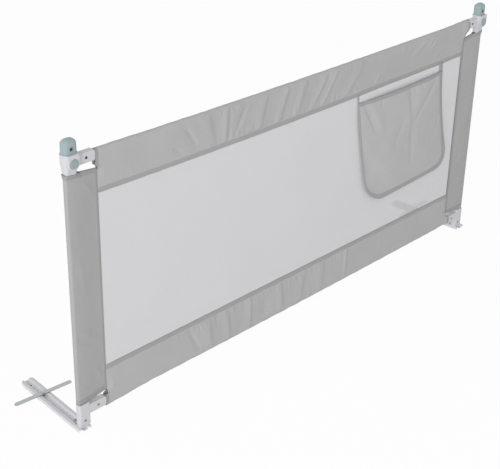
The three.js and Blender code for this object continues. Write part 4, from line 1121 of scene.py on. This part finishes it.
# Strength of the light from all round, level and from above, and its factors at left and right
SIDE_LIGHT = 0.75
TOP_LIGHT = 0.53
LEFT_LIGHT = 1.35
RIGHT_LIGHT = 0.68
KEY_POWER = 445.0
KEY_SIZE = 5.8
KEY_PLACE = Vector((-7.6, -5.0, 3.5))
KEY_TARGET = Vector((0.0, 0.0, 0.45))
WHITE = 1.0
FLOOR_SHADE = 0.05
FLOOR_REACH = 60.0
FLOOR_DROP = 0.6 * MM


def seen_directly(tree):
    """1 for rays from the camera and for those that mirror or pass through, else 0"""
    path = add_node(tree, "ShaderNodeLightPath")
    either = math_node(tree, "MAXIMUM", path.outputs["Is Camera Ray"], path.outputs["Is Glossy Ray"])
    return math_node(tree, "MAXIMUM", either, path.outputs["Is Transmission Ray"])


def make_world():
    """White where it is seen, and uneven light from all round on the object"""
    world = bpy.data.worlds.new("studio")
    bpy.context.scene.world = world
    world.use_nodes = True
    tree = world.node_tree
    way = add_node(tree, "ShaderNodeTexCoord").outputs["Generated"]
    split = add_node(tree, "ShaderNodeSeparateXYZ", {0: way})
    light = spread(tree, split.outputs["Z"], SIDE_LIGHT, TOP_LIGHT)
    rightward = math_node(tree, "MULTIPLY_ADD", split.outputs["X"], 0.5, 0.5)
    light = math_node(tree, "MULTIPLY", light, spread(tree, rightward, LEFT_LIGHT, RIGHT_LIGHT))
    seen = seen_directly(tree)
    hidden = math_node(tree, "MULTIPLY", light, math_node(tree, "SUBTRACT", 1, seen))
    strength = math_node(tree, "ADD", hidden, math_node(tree, "MULTIPLY", seen, WHITE))
    fill(tree, tree.nodes["Background"], {"Color": (1, 1, 1, 1), "Strength": strength})


def make_key_light():
    """A large soft panel in front, on the left and above; its light falls off to the right"""
    data = bpy.data.lights.new("key", "AREA")
    data.energy = KEY_POWER
    data.shape = "SQUARE"
    data.size = KEY_SIZE
    light = new_object("key", data)
    light.location = KEY_PLACE
    light.visible_glossy = False
    light.rotation_mode = "QUATERNION"
    light.rotation_quaternion = (KEY_PLACE - KEY_TARGET).to_track_quat("Z", "Y")


def make_floor():
    """Pale floor whose own white is mixed with a little shading, so that a soft shadow stays"""
    mesh = bpy.data.meshes.new("floor")
    corners = [(FLOOR_REACH * x, FLOOR_REACH * y, 0) for x, y in ((-1, -1), (1, -1), (1, 1), (-1, 1))]
    mesh.from_pydata(corners, [], [(0, 1, 2, 3)])
    floor = new_object("floor", mesh)
    floor.location.z = -FLOOR_DROP
    material, tree, shader = new_material("floor")
    paint = {"Base Color": (0.9, 0.9, 0.9, 1), "Roughness": 0.9, "Specular IOR Level": 0.1}
    fill(tree, shader, paint)
    glow = add_node(tree, "ShaderNodeEmission", {"Strength": WHITE})
    share = math_node(tree, "MULTIPLY", seen_directly(tree), 1 - FLOOR_SHADE)
    layers = {"Fac": share, 1: shader.outputs["BSDF"], 2: glow.outputs["Emission"]}
    mix = add_node(tree, "ShaderNodeMixShader", layers)
    fill(tree, tree.nodes["Material Output"], {"Surface": mix.outputs["Shader"]})
    mesh.materials.append(material)


# Assembly

make_camera()
make_world()
make_key_light()
make_floor()
for node_name, node_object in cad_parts.items():
    finish_cad_node(node_name, node_object)
for node_name in ("top_rail_left", "top_rail_right", "top_rail_joiner"):
    bowed_tube(node_name)
button_spring("left")
button_spring("right")
foot_hole_shade("left", -1)
foot_hole_shade("right", 1)
band("top_band_cloth", TOP_BAND_BOX, TOP_RAIL_Z, 1, "drop_side", TOP_LOOKS)
band("bottom_band_cloth", LOW_BAND_BOX, LOW_RAIL_Z, -1, "stand", LOW_LOOKS)
sleeve("left", -1)
sleeve("right", 1)
net_window()
pocket_front()
pocket_back()

bpy.context.scene.view_settings.view_transform = "Standard"
